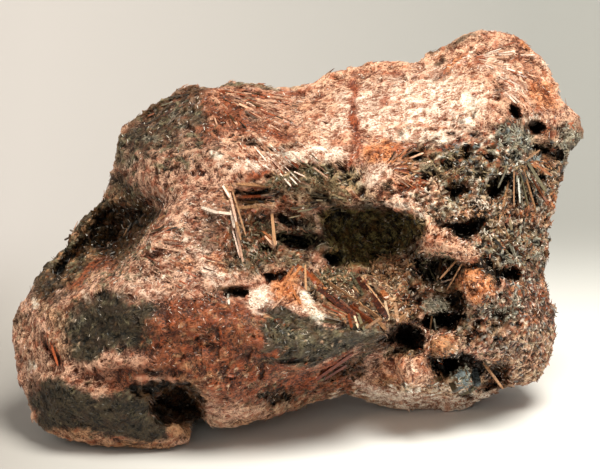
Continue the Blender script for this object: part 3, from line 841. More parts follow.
@dataclass
class MeshGrain:
    """Grain that follows the fibres from vertex to vertex, and the surface's own creases."""

    mesh: bpy.types.Mesh
    rounds: int = 5
    keenness: float = 7.0
    seed: int = 5

    def __post_init__(self) -> None:
        """Lists the pairs of neighbouring vertices, across faces too."""
        pairs = np.empty(len(self.mesh.edges) * 2, np.int32)
        self.mesh.edges.foreach_get("vertices", pairs)
        cross = [(f.vertices[k], f.vertices[k + 2]) for f in self.mesh.polygons if len(f.vertices) == 4 for k in (0, 1)]
        self.pairs = np.concatenate([pairs.reshape(-1, 2), np.array(cross, np.int32).reshape(-1, 2)])
        self.count = len(self.mesh.vertices)

    def spread_over(self, values: np.ndarray, weights: np.ndarray) -> np.ndarray:
        """One round of averaging values with the neighbours' by weights for each end of each pair."""
        a, b = self.pairs.T
        count = self.count
        total = np.bincount(a, weights[:, 0] * values[b], count) + np.bincount(b, weights[:, 1] * values[a], count)
        norm = np.bincount(a, weights[:, 0], count) + np.bincount(b, weights[:, 1], count)
        return (values + total) / (1 + norm)

    def streaks(self, ways: np.ndarray) -> np.ndarray:
        """Chance numbers drawn out along the fibres, with mean 0 and spread 1."""
        points = vertex_array(self.mesh)
        a, b = self.pairs.T
        steps = unit(points[b] - points[a])
        weights = np.stack([np.abs((steps * ways[a]).sum(1)), np.abs((steps * ways[b]).sum(1))], 1) ** self.keenness
        values = np.random.default_rng(self.seed).normal(size=self.count)
        for _ in range(self.rounds):
            values = self.spread_over(values, weights * 2)
        return (values - values.mean()) / values.std()

    def creases(self, rounds: int) -> np.ndarray:
        """How deep each vertex lies below the smoothed surface, in millimetres; ridges are below 0."""
        points = vertex_array(self.mesh)
        even = np.ones((len(self.pairs), 2))
        soft = points.copy()
        for _ in range(rounds):
            soft = np.stack([self.spread_over(soft[:, k], even) for k in range(3)], 1)
        return ((soft - points) * vertex_array(self.mesh, "normal")).sum(1) / MM


def carried_colour(tree: bpy.types.NodeTree, share: bpy.types.NodeSocket, swing: bpy.types.NodeSocket) -> None:
    """Colours a finish between the dark and the light that its surface carries.

    Args:
        tree: the finish's nodes.
        share: how much of the light there is.
        swing: what the grain adds to it.
    """
    share = add_node(tree, "ShaderNodeMath", {0: share, 1: swing}, operation="ADD", use_clamp=True).outputs[0]
    dark = add_node(tree, "ShaderNodeAttribute", attribute_name="dark").outputs["Color"]
    light = add_node(tree, "ShaderNodeAttribute", attribute_name="light").outputs["Color"]
    colour = add_node(tree, "ShaderNodeMix", {0: share, 6: dark, 7: light}, data_type="RGBA").outputs[2]
    tree.links.new(colour, tree.nodes["Principled BSDF"].inputs["Base Color"])


def fine_noise(tree: bpy.types.NodeTree, size_mm: float, detail: float, swing: float,
               **inputs: float) -> tuple[bpy.types.NodeSocket, bpy.types.NodeSocket]:
    """Fine grain in space.

    Args:
        tree: the finish's nodes.
        size_mm: how large its grains are.
        detail: how many finer layers it has.
        swing: how far it moves a number up and down.
        **inputs: further inputs of the noise.

    Returns:
        The noise, and the noise as a number from -swing to swing.
    """
    place = add_node(tree, "ShaderNodeTexCoord").outputs["Object"]
    grain = add_node(tree, "ShaderNodeTexNoise",
                     {"Vector": place, "Scale": 1 / (size_mm * MM), "Detail": detail, **inputs}).outputs[0]
    moved = add_node(tree, "ShaderNodeMapRange", {"Value": grain, "From Min": 0.3, "From Max": 0.7,
                                                  "To Min": -swing, "To Max": swing}).outputs[0]
    return grain, moved


@dataclass(frozen=True)
class FeltedDiaspore:
    """Massive manganoan diaspore: a felt of fine blades, pearly where they lie flat and dull in between.

    The ground's dark and light come with the surface, and so does the share between them, which runs with the
    fibres. The finest grain is drawn at 0.28 mm, the width of one or two blades.
    """

    name: str
    grain_mm: float = 0.28
    swing: float = 0.9
    roughness: float = 0.5
    specular: float = 0.3
    bump_mm: float = 0.09

    def build(self) -> bpy.types.Material:
        """Makes the material."""
        material = bpy.data.materials.new(self.name)
        material.use_nodes = True
        tree = material.node_tree
        shader = tree.nodes["Principled BSDF"]
        fine, swing = fine_noise(tree, self.grain_mm, 3.0, self.swing, Roughness=0.7)
        share = add_node(tree, "ShaderNodeAttribute", attribute_name="share").outputs["Fac"]
        carried_colour(tree, share, swing)
        bump = add_node(tree, "ShaderNodeBump", {"Height": fine, "Strength": 1.0, "Distance": self.bump_mm * MM})
        tree.links.new(bump.outputs[0], shader.inputs["Normal"])
        shader.inputs["Roughness"].default_value = self.roughness
        shader.inputs["Specular IOR Level"].default_value = self.specular
        return material


@dataclass(frozen=True)
class CleavedBlade:
    """Single diaspore blades: smooth cleavage, glassy to pearly, paler or darker from blade to blade."""

    name: str
    fleck_mm: float = 0.3
    swing: float = 0.3
    roughness: float = 0.3
    specular: float = 0.55
    coat: float = 0.1

    def build(self) -> bpy.types.Material:
        """Makes the material."""
        material = bpy.data.materials.new(self.name)
        material.use_nodes = True
        tree = material.node_tree
        shader = tree.nodes["Principled BSDF"]
        _, swing = fine_noise(tree, self.fleck_mm, 2.0, self.swing)
        grain = add_node(tree, "ShaderNodeAttribute", attribute_name="grain").outputs["Fac"]
        carried_colour(tree, grain, swing)
        shader.inputs["Roughness"].default_value = self.roughness
        shader.inputs["Specular IOR Level"].default_value = self.specular
        shader.inputs["Coat Weight"].default_value = self.coat
        return material


@dataclass
class BrokenSkin:
    """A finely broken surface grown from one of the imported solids: plates, the chips on them, and grain."""

    node: str
    voxel_mm: float = 0.76
    split_front: bool = True
    relief: float = 1.0
    plate_mm: float = 2.3
    chip_mm: float = 0.95
    grain_mm: float = 0.55
    crag_mm: float = 1.9
    crag_chip_mm: float = 0.9
    jitter_mm: float = 0.035
    oval_reach: float = 1.25
    field: StoneField = field(default_factory=StoneField)

    def build(self, name: str, material: bpy.types.Material) -> bpy.types.Object:
        """Makes the surface and lays its ground.

        Args:
            name: the piece's name.
            material: the finish.

        Returns:
            The piece.
        """
        mesh = self.evened()
        if self.split_front:
            self.split(mesh)
        self.hollow_out(mesh)
        points, normals = vertex_array(mesh), vertex_array(mesh, "normal")
        ways = self.field.fibres(points, normals)
        grain = MeshGrain(mesh)
        streaks = grain.streaks(ways)
        self.roughen(mesh, streaks)
        self.lay_ground(mesh, grain, ways, streaks)
        mesh.materials.clear()
        mesh.materials.append(material)
        mesh.polygons.foreach_set("use_smooth", np.zeros(len(mesh.polygons), bool))
        log_piece(name, mesh)
        return new_object(name, mesh)

    def evened(self) -> bpy.types.Mesh:
        """The solid with faces of one size."""
        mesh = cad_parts[self.node].data.copy()
        shape = bmesh.new()
        shape.from_mesh(mesh)
        bmesh.ops.remove_doubles(shape, verts=shape.verts[:], dist=1e-7)
        shape.to_mesh(mesh)
        shape.free()
        obj = new_object("evening", mesh)
        remesh = obj.modifiers.new("even", "REMESH")
        remesh.mode, remesh.voxel_size = "VOXEL", self.voxel_mm * MM
        soften = obj.modifiers.new("soften", "SMOOTH")
        soften.factor, soften.iterations = 0.5, 2
        result = evaluated_mesh(obj)
        bpy.data.objects.remove(obj)
        return result

    def split(self, mesh: bpy.types.Mesh) -> None:
        """Splits the faces that look towards the viewer once more."""
        shape = bmesh.new()
        shape.from_mesh(mesh)
        points = np.array([face.calc_center_median() for face in shape.faces])
        normals = np.array([face.normal for face in shape.faces])
        toward = unit(np.array(VIEW.eye()) - points)
        shown = ((toward * normals).sum(1) > -0.12) & (self.field.front_share(points, normals) > 0.5)
        chosen = {edge.index for face, fine in zip(shape.faces, shown) if fine for edge in face.edges}
        edges = [edge for edge in shape.edges if edge.index in chosen]
        bmesh.ops.subdivide_edges(shape, edges=edges, cuts=1, use_grid_fill=True)
        bmesh.ops.triangulate(shape, faces=[face for face in shape.faces if len(face.verts) > 4])
        shape.to_mesh(mesh)
        shape.free()

    def hollow_out(self, mesh: bpy.types.Mesh) -> None:
        """Presses the small hollows in and raises the small swellings of the display side."""
        points, normals = vertex_array(mesh), vertex_array(mesh, "normal")
        front = self.field.front_share(points, normals)
        seen = VIEW.seen_at(points)
        shift = np.zeros(len(points))
        for x, y, wide, high, turn, depth in RELIEF:
            angle = math.radians(turn)
            dx, dy = seen[:, 0] - x, seen[:, 1] - y
            along = (dx * math.cos(angle) - dy * math.sin(angle)) / (wide * self.oval_reach)
            across = (dx * math.sin(angle) + dy * math.cos(angle)) / (high * self.oval_reach)
            shift += depth * np.clip(1 - along ** 2 - across ** 2, 0, 1) ** 1.5
        wobble = np.array([noise.noise_vector(Vector(point) / (1.2 * MM)) for point in points])
        for depth, _, _, corners in HOLES:
            shift -= depth * smooth_step(depth_in(seen + 2 * wobble[:, :2], corners), -0.6, 3.2)
        points += (shift * front * self.relief * MM)[:, None] * VIEW.axes()[2]
        mesh.vertices.foreach_set("co", points.ravel())
        mesh.update()

    def roughen(self, mesh: bpy.types.Mesh, streaks: np.ndarray) -> None:
        """Moves the vertices in and out: tilted plates, chips, grains and fibres."""
        points, normals = vertex_array(mesh), vertex_array(mesh, "normal")
        rough = (self.field.ground(points, normals)["rough"] + 0.1 * self.field.porous(points)) * self.relief
        heights = np.array([self.height(Vector(point) / MM) for point in points]) * rough + 0.07 * streaks * self.relief
        crags = np.array([noise.noise(Vector(point) / (self.crag_mm * MM))
                          + 0.5 * noise.noise(Vector(point) / (self.crag_chip_mm * MM)) for point in points])
        heights -= 2.4 * np.clip(rough - 0.95, 0, 0.6) * np.clip(np.abs(crags) * 2.2 - 0.35, -0.35, 1.0)
        jitter = np.random.default_rng(3).normal(size=points.shape) * self.jitter_mm
        points += normals * (heights * MM)[:, None] + jitter * MM
        points[:, 2] = np.maximum(points[:, 2], 0)
        mesh.vertices.foreach_set("co", points.ravel())
        mesh.update()

    def height(self, spot: Vector) -> float:
        """How far the surface stands out at a spot, in millimetres."""
        plate, chip = self.tilt(spot / self.plate_mm, 2.9), self.tilt(spot / self.chip_mm, 3.3)
        return 0.9 * plate + 0.45 * chip + 0.16 * noise.noise(spot / self.grain_mm) - 0.08

    @staticmethod
    def tilt(spot: Vector, stride: float) -> float:
        """The height at a spot on flat faces of one size, each tilted its own way."""
        near = noise.voronoi(spot)[1][0]
        return (spot - near).dot(noise.noise_vector(near * stride))

    def lay_ground(self, mesh: bpy.types.Mesh, grain: MeshGrain, ways: np.ndarray, streaks: np.ndarray) -> None:
        """Stores the ground, the share of light in it, and the run of the fibres on the surface."""
        points, normals = vertex_array(mesh), vertex_array(mesh, "normal")
        ground = self.field.ground(points, normals)
        mottle = np.array([noise.fractal(Vector(p) / (1.5 * MM), 1.0, 2.0, 3) for p in points])
        flecked = np.array([noise.fractal(Vector(p) / (1.1 * MM) + Vector((7, 3, 5)), 1.0, 2.0, 3) for p in points])
        amount = 0.75 * smooth_step(flecked + 0.08 * streaks, 0.12, 0.4)[:, None]
        dark = ground["dark"] + amount * (ground["fleck"] * 0.35 - ground["dark"])
        light = ground["light"] + amount * (ground["fleck"] - ground["light"])
        creased = 2.2 * grain.creases(2) + 0.9 * grain.creases(14)
        share = 0.5 + 0.16 * streaks + (0.28 + 0.2 * self.field.porous(points)) * mottle
        share -= np.clip(0.8 * creased, -0.4, 1.0)
        sunk = np.clip(0.8 * creased - 0.25, 0, 0.75)[:, None]
        store(mesh, "dark", dark * (1 - sunk))
        store(mesh, "light", light * (1 - 0.6 * sunk))
        store(mesh, "share", share)
        store(mesh, "felt", ground["felt"] * (1 - np.clip(creased, 0, 0.8)))
        store(mesh, "lift", ground["lift"] * (1 - 0.7 * self.field.porous(points)))
        store(mesh, "fibre", ways)
        store(mesh, "wild", 0.45 + 1.3 * self.field.porous(points))


def unit_blade(name: str, sides: int, rings: tuple[tuple[float, float, float], ...]) -> bpy.types.Object:
    """A closed blade along Z, one unit long.

    Args:
        name: the object's name.
        sides: how many sides it has.
        rings: height, width and thickness of each ring of its outline.

    Returns:
        The blade, for instances.
    """
    points, faces = [], []
    for z, wide, thick in rings:
        for k in range(sides):
            angle = 2 * math.pi * (k + 0.5) / sides - math.pi / 2
            points.append((wide * math.cos(angle) / 1.414, thick * math.sin(angle) / 1.414, z))
    for ring in range(len(rings) - 1):
        for k in range(sides):
            a, b = ring * sides + k, ring * sides + (k + 1) % sides
            faces.append((a, b, b + sides, a + sides))
    faces += [tuple(reversed(range(sides))), tuple(range(len(points) - sides, len(points)))]
    mesh = bpy.data.meshes.new(name)
    mesh.from_pydata(points, [], faces)
    return new_object(name, mesh)


@dataclass
class NodeWriter:
    """Short words for the nodes that the growing trees share."""

    tree: bpy.types.GeometryNodeTree

    def kept(self, name: object, kind: str = "FLOAT") -> bpy.types.NodeSocket:
        """A field that the surface carries."""
        made = add_node(self.tree, "GeometryNodeInputNamedAttribute", {"Name": name}, data_type=kind)
        return next(out for out in made.outputs if out.enabled and out.name == "Attribute")

    def chance(self, low: object, high: object, seed: bpy.types.NodeSocket, shift: int) -> bpy.types.NodeSocket:
        """A number by chance between two others."""
        moved = self.maths("ADD", seed, float(shift))
        return add_node(self.tree, "FunctionNodeRandomValue", {2: low, 3: high, "Seed": moved}).outputs[1]

    def maths(self, operation: str, first: object, second: object) -> bpy.types.NodeSocket:
        """Two numbers put together."""
        return add_node(self.tree, "ShaderNodeMath", {0: first, 1: second}, operation=operation).outputs[0]

    def vector(self, operation: str, first: object, second: object) -> bpy.types.NodeSocket:
        """Two vectors, or a vector and a scale, put together."""
        key = "Scale" if operation == "SCALE" else 1
        return add_node(self.tree, "ShaderNodeVectorMath", {0: first, key: second}, operation=operation).outputs[0]

    def turned(self, along: object, up: object) -> bpy.types.NodeSocket:
        """The rotation that lays Z along one direction and Y as near as it can to another."""
        spin = add_node(self.tree, "FunctionNodeAlignRotationToVector", {"Vector": along}, axis="Z").outputs[0]
        return add_node(self.tree, "FunctionNodeAlignRotationToVector", {"Rotation": spin, "Vector": up},
                        axis="Y", pivot_axis="Z").outputs[0]


@dataclass
class FeltGrower:
    """Grows the felt of fine blades on a surface with geometry nodes.

    The surface carries the fields felt, lift, wild, share, fibre, dark and light. Every blade lies along the fibre,
    turned a little, and sunk into the surface; its tip is lifted where the ground is open.
    """

    per_mm2: float = 9.0
    length_mm: tuple[float, float] = (0.25, 0.9)
    width_mm: tuple[float, float] = (0.06, 0.15)
    spread: float = 0.9
    seed: int = 7

    @staticmethod
    def tree(material: bpy.types.Material) -> tuple[bpy.types.GeometryNodeTree, dict[str, str]]:
        """Makes the node tree.

        Args:
            material: the finish of the blades.

        Returns:
            The tree, and the identifiers of its inputs by name.
        """
        sockets = {}
        tree = bpy.data.node_groups.new("felt_of_blades", "GeometryNodeTree")
        face = tree.interface
        face.new_socket("Surface", in_out="INPUT", socket_type="NodeSocketGeometry")
        for name, kind in (("Blade", "Object"), ("Where", "String"), ("Blades per square metre", "Float"),
                           ("Shortest", "Float"), ("Longest", "Float"), ("Narrowest", "Float"), ("Widest", "Float"),
                           ("Spread", "Float"), ("Seed", "Int")):
            made = face.new_socket(name, in_out="INPUT", socket_type=f"NodeSocket{kind}")
            sockets[name] = made.identifier
        face.new_socket("Felt", in_out="OUTPUT", socket_type="NodeSocketGeometry")
        given = add_node(tree, "NodeGroupInput").outputs
        write, seed = NodeWriter(tree), given["Seed"]
        density = write.maths("MULTIPLY", write.kept(given["Where"]), given["Blades per square metre"])
        spots = add_node(tree, "GeometryNodeDistributePointsOnFaces",
                         {"Mesh": given["Surface"], "Density": density, "Seed": seed}, distribute_method="RANDOM")
        normal = spots.outputs["Normal"]
        turn = write.maths("MULTIPLY", write.chance(-1.0, 1.0, seed, 1), given["Spread"])
        turn = write.maths("MULTIPLY", turn, write.kept("wild"))
        way = add_node(tree, "ShaderNodeVectorRotate", {"Vector": write.kept("fibre", "FLOAT_VECTOR"), "Axis": normal,
                                                        "Angle": turn}, rotation_type="AXIS_ANGLE").outputs[0]
        most = write.maths("ADD", write.kept("lift"), 0.06)
        way = write.vector("ADD", way, write.vector("SCALE", normal, write.chance(-0.06, most, seed, 2)))
        roll = add_node(tree, "ShaderNodeCombineXYZ", {2: write.chance(-0.6, 0.6, seed, 3)}).outputs[0]
        roll = add_node(tree, "FunctionNodeEulerToRotation", {0: roll}).outputs[0]
        spin = add_node(tree, "FunctionNodeRotateRotation", {"Rotation": write.turned(way, normal), "Rotate By": roll},
                        rotation_space="LOCAL").outputs[0]
        wide = write.chance(given["Narrowest"], given["Widest"], seed, 4)
        long = write.chance(given["Shortest"], given["Longest"], seed, 5)
        thick = write.maths("MULTIPLY", wide, 0.6)
        size = add_node(tree, "ShaderNodeCombineXYZ", {0: wide, 1: thick, 2: long}).outputs[0]
        swing = write.maths("MULTIPLY", write.chance(-0.7, 0.8, seed, 6), write.maths("ADD", write.kept("wild"), 0.5))
        grain = write.maths("ADD", write.kept("share"), swing)
        kept = add_node(tree, "GeometryNodeStoreNamedAttribute",
                        {"Geometry": spots.outputs["Points"], "Name": "grain", "Value": grain},
                        data_type="FLOAT", domain="POINT").outputs[0]
        blade = add_node(tree, "GeometryNodeObjectInfo", {"Object": given["Blade"]}).outputs["Geometry"]
        grown = add_node(tree, "GeometryNodeInstanceOnPoints",
                         {"Points": kept, "Instance": blade, "Rotation": spin, "Scale": size}).outputs[0]
        real = add_node(tree, "GeometryNodeRealizeInstances", {"Geometry": grown}).outputs[0]
        done = add_node(tree, "GeometryNodeSetMaterial", {"Geometry": real, "Material": material}).outputs[0]
        add_node(tree, "NodeGroupOutput", {"Felt": done})
        return tree, sockets

    def grow(self, name: str, surface: bpy.types.Object, where: str, blade: bpy.types.Object,
             tree: bpy.types.GeometryNodeTree, sockets: dict[str, str]) -> bpy.types.Object:
        """Grows one stretch of felt.

        Args:
            name: the piece's name.
            surface: what it grows on.
            where: the field that says where.
            blade: the unit blade.
            tree: the node tree.
            sockets: the identifiers of its inputs.

        Returns:
            The piece, as a plain mesh.
        """
        holder = new_object(f"{name}_bed", surface.data.copy())
        modifier = holder.modifiers.new("felt", "NODES")
        modifier.node_group = tree
        values = {"Blade": blade, "Where": where, "Blades per square metre": self.per_mm2 / MM ** 2,
                  "Shortest": self.length_mm[0] * MM, "Longest": self.length_mm[1] * MM,
                  "Narrowest": self.width_mm[0] * MM, "Widest": self.width_mm[1] * MM,
                  "Spread": self.spread, "Seed": self.seed}
        for key, value in values.items():
            modifier[sockets[key]] = value
        mesh = evaluated_mesh(holder)
        bpy.data.objects.remove(holder)
        log_piece(name, mesh)
        return new_object(name, mesh)


@dataclass(frozen=True)
class Crystal:
    """One crystal that stands by itself."""

    foot: Vector
    tip: Vector
    up: Vector
    wide_mm: float
    thick_mm: float
    ground: Ground
    share: float


# Crystals that can be told apart: foot x and y, tip x and y, width in view points, how much nearer the tip
# stands in millimetres, thickness as a share of the width, ground, and share of light.
MAIN_HOLLOW_BLADES: tuple[tuple, ...] = (
    (318, 284, 374, 320, 6.6, 0.7, 0.35, ORANGE, 0.2), (316, 280, 378, 320, 2.4, 1.1, 0.5, TAN, 0.7),
    (320, 290, 370, 327, 3.4, 0.8, 0.5, RUST, 0.1), (328, 282, 382, 320, 3, 0.8, 0.6, TAN, 0.4),
    (352, 308, 374, 325, 4, 1.0, 0.7, RUST, 0.5), (359, 280, 388, 319, 4.5, 0.8, 0.4, RUST, 0.15),
    (363, 279, 390, 316, 1.8, 1.0, 0.7, TAN, 1.0), (352, 276, 364, 298, 2.6, 0.6, 0.3, OLIVE, 0.5),
    (346, 271, 352, 288, 2.6, 0.5, 0.3, OLIVE, 0.5), (350, 284, 364, 297, 1.6, 0.8, 0.6, TAN, 0.8),
    (385, 300, 389, 320, 2.4, 0.7, 0.6, PALE, 0.8), (383, 293, 387, 299, 4, 0.4, 0.8, ORANGE, 0.5),
    (395, 305, 398, 322, 3, 0.8, 0.6, TAN, 0.7), (408, 312, 398, 322, 2.5, 0.8, 0.6, TAN, 0.7),
    (334, 302, 341, 320, 2.4, 0.3, 0.4, BROWN, 0.6), (340, 306, 346, 324, 2.4, 0.4, 0.4, TAN, 0.5),
    (348, 312, 352, 328, 2.6, 0.8, 0.5, RUST, 0.4), (353, 311, 358, 328, 1.8, 0.7, 0.5, PALE, 0.7),
    (357, 312, 364, 330, 3, 1.0, 0.5, OLIVE, 0.9), (376, 318, 386, 330, 3, 0.8, 0.5, TAN, 0.6),
    (366, 328, 380, 318, 2.2, 1.6, 0.6, TAN, 0.8), (312, 276, 322, 287, 4, 0.5, 0.5, ORANGE, 0.4),
    (306, 272, 316, 284, 3, 0.4, 0.5, RUST, 0.5), (368, 322, 360, 327, 3, 1.4, 0.5, UMBER, 0.8),
    (336, 296, 364, 322, 2.0, 0.5, 0.5, ORANGE, 0.3),
)
WEDGE_NEEDLES: tuple[tuple, ...] = (
    (441, 260, 437, 280, 1.5, 0.6, 0.7, TAN, 0.8), (457, 260, 440, 279, 1.5, 0.8, 0.6, TAN, 0.5),
    (463, 262, 447, 290, 1.3, 1.0, 0.6, TAN, 0.4), (450, 268, 456, 284, 1.1, 0.5, 0.7, UMBER, 0.9),
    (436, 284, 452, 279, 1.2, 0.6, 0.6, TAN, 0.6), (428, 266, 436, 282, 1.1, 0.5, 0.7, OLIVE, 0.8),
    (445, 262, 442, 274, 1, 0.5, 0.7, RUST, 0.7), (462, 266, 446, 288, 0.8, 1.2, 0.6, BLACK, 0.9),
)
LOW_POCKET_BLOCKS: tuple[tuple, ...] = (
    (470, 388, 460, 370, 6, 0.9, 0.7, STEEL, 0.3), (457, 388, 468, 380, 5, 1.0, 0.6, STEEL, 0.5),
    (474, 372, 478, 386, 6, 1.2, 0.6, STEEL, 0.35), (463, 392, 474, 387, 5, 1.3, 0.6, OLIVE, 0.6),
    (458, 376, 465, 373, 3.6, 0.7, 0.6, STEEL, 0.6), (452, 384, 456, 392, 5, 0.6, 0.6, CHARCOAL, 0.7),
)
SURFACE_CRYSTALS: tuple[tuple, ...] = (
    # laths in the recess in the middle
    (227, 188, 241, 240, 2.4, 1.0, 0.5, TAN, 0.5), (231, 186, 246, 236, 1.4, 1.2, 0.5, TAN, 0.6),
    (233, 214, 243, 262, 2, 1.2, 0.5, PINK, 0.6), (229, 192, 236, 222, 1.8, 1.2, 0.5, PINK, 0.8),
    (231, 225, 240, 258, 1.4, 1.5, 0.5, PINK, 0.6), (224, 188, 230, 198, 2, 0.8, 0.6, PINK, 0.5),
    (203, 208, 218, 213, 2, 0.5, 0.6, CREAM, 0.8), (216, 212, 232, 214, 2.4, 0.6, 0.6, CREAM, 0.8),
    (231, 213, 234, 228, 1.8, 0.8, 0.6, CREAM, 0.5), (268, 238, 275, 246, 6, 0.8, 0.6, SALMON, 0.8),
    (263, 233, 272, 240, 3, 0.5, 0.6, ORANGE, 0.5), (272, 214, 275, 245, 2.4, 1.2, 0.6, TAN, 0.8),
    (258, 206, 236, 208, 2.6, 0.5, 0.6, TAN, 0.7), (268, 186, 236, 184, 2.4, 0.5, 0.6, TAN, 0.6),
    (262, 196, 234, 197, 2.4, 0.5, 0.6, RUST, 0.7), (266, 202, 240, 203, 2, 0.5, 0.6, UMBER, 0.8),
    # the orange fan left of the main hollow
    (300, 268, 275, 300, 2.6, 0.6, 0.5, ORANGE, 0.35), (302, 270, 281, 303, 2.6, 0.7, 0.5, RUST, 0.6),
    (304, 272, 288, 302, 2.6, 0.7, 0.5, ORANGE, 0.3), (297, 266, 270, 292, 2.4, 0.5, 0.5, RUST, 0.5),
    (305, 266, 306, 294, 1.6, 1.0, 0.6, TAN, 0.7), (293, 268, 284, 285, 2.4, 0.6, 0.5, ORANGE, 0.5),
    (283, 298, 272, 309, 1.4, 0.8, 0.7, PINK, 0.8), (276, 290, 270, 300, 1.2, 0.8, 0.7, PINK, 0.7),
    (301, 283, 297, 294, 1.3, 0.8, 0.7, PINK, 0.7), (292, 288, 301, 304, 2, 0.5, 0.5, ORANGE, 0.5),
    (228, 294, 229, 304, 1.6, 0.4, 0.7, WHITE, 0.6),
    # the fan of needles at the right
    (517, 163, 520, 203, 1.4, 1.0, 0.6, SLATE, 0.6), (528, 163, 546, 192, 2.4, 0.8, 0.4, OLIVE, 0.5),
    (514, 166, 514, 207, 1.3, 1.0, 0.6, TAN, 0.5), (523, 168, 536, 212, 1.8, 0.9, 0.5, TAN, 0.35),
    (530, 160, 552, 176, 2.0, 0.8, 0.5, ORANGE, 0.3), (509, 182, 503, 207, 1.6, 0.9, 0.6, TAN, 0.4),
    (520, 172, 528, 206, 1.3, 1.0, 0.6, OLIVE, 0.6), (532, 178, 549, 206, 1.8, 0.9, 0.5, ORANGE, 0.3),
    (526, 160, 540, 150, 1.6, 0.9, 0.5, TAN, 0.5), (508, 166, 498, 188, 1.6, 0.9, 0.5, OLIVE, 0.5),
    # the edge of the block and the sliver under the nose
    (485, 365, 503, 389, 1.6, 0.8, 0.6, TAN, 0.6), (319, 377, 353, 353, 4, 0.7, 0.3, VEIN, 0.35),
    (326, 378, 348, 364, 2.4, 0.6, 0.4, VEIN, 0.1), (430, 330, 432, 316, 1.4, 0.8, 0.6, TAN, 0.7),
    (436, 330, 434, 318, 1.4, 0.8, 0.6, SLATE, 0.7), (420, 252, 448, 240, 1.8, 0.9, 0.6, SALMON, 0.9),
    (48, 334, 58, 366, 1.8, 0.4, 0.5, RUST, 0.7),
)

# Fans of laths that lie on the surface: x and y of the centre, first and last direction in degrees (0 to the right,
# 90 up), inner and outer reach, number, width, and the grounds that they take in turn.
FANS: tuple[tuple, ...] = (
    (205, 88, -85, -8, 6, 40, 90, 1.5, (RUST, SALMON, UMBER, VEIN, SALMON)),
    (205, 88, -62, -6, 26, 84, 150, 1.2, (VEIN, SALMON, RUST, UMBER, SALMON)),
    (205, 88, -50, -4, 60, 124, 150, 1.0, (SALMON, CREAM, VEIN, PINK, RUST)),
    (205, 92, 185, 235, 8, 70, 44, 1.0, (UMBER, CHARCOAL, OLIVE, UMBER, BROWN)),
    (385, 332, 100, 170, 22, 62, 50, 1.4, (OLIVE, TAN, RUST, UMBER, RUST)),
    (360, 202, 130, 205, 14, 62, 80, 1.2, (OLIVE, DRUSE, UMBER, PINK, DRUSE)),
    (518, 163, -125, -40, 6, 50, 40, 1.3, (SLATE, TAN, UMBER, ORANGE, BLACK)),
    (90, 232, -32, -4, 62, 130, 46, 0.9, (PINK, VEIN, PALE, BROWN, PINK)),
    (52, 345, 95, 150, 4, 46, 40, 1.2, (CREAM, VEIN, SALMON, UMBER, PINK)),
    (230, 200, -25, 12, 6, 40, 34, 1.8, (UMBER, RUST, TAN, BLACK, TAN)),
    (520, 268, 40, 150, 8, 40, 44, 1.6, (SLATE, DRUSE, BLACK, SLATE, TAN)),
    (120, 245, 10, 75, 8, 50, 40, 1.6, (UMBER, TAN, BLACK, RUST, UMBER)),
    (385, 168, -60, 60, 6, 34, 50, 1.1, (ORANGE, SALMON, RUST, UMBER, PINK)),
    (470, 58, -50, 20, 6, 60, 60, 1.1, (SALMON, CREAM, VEIN, PINK, CREAM)),
)

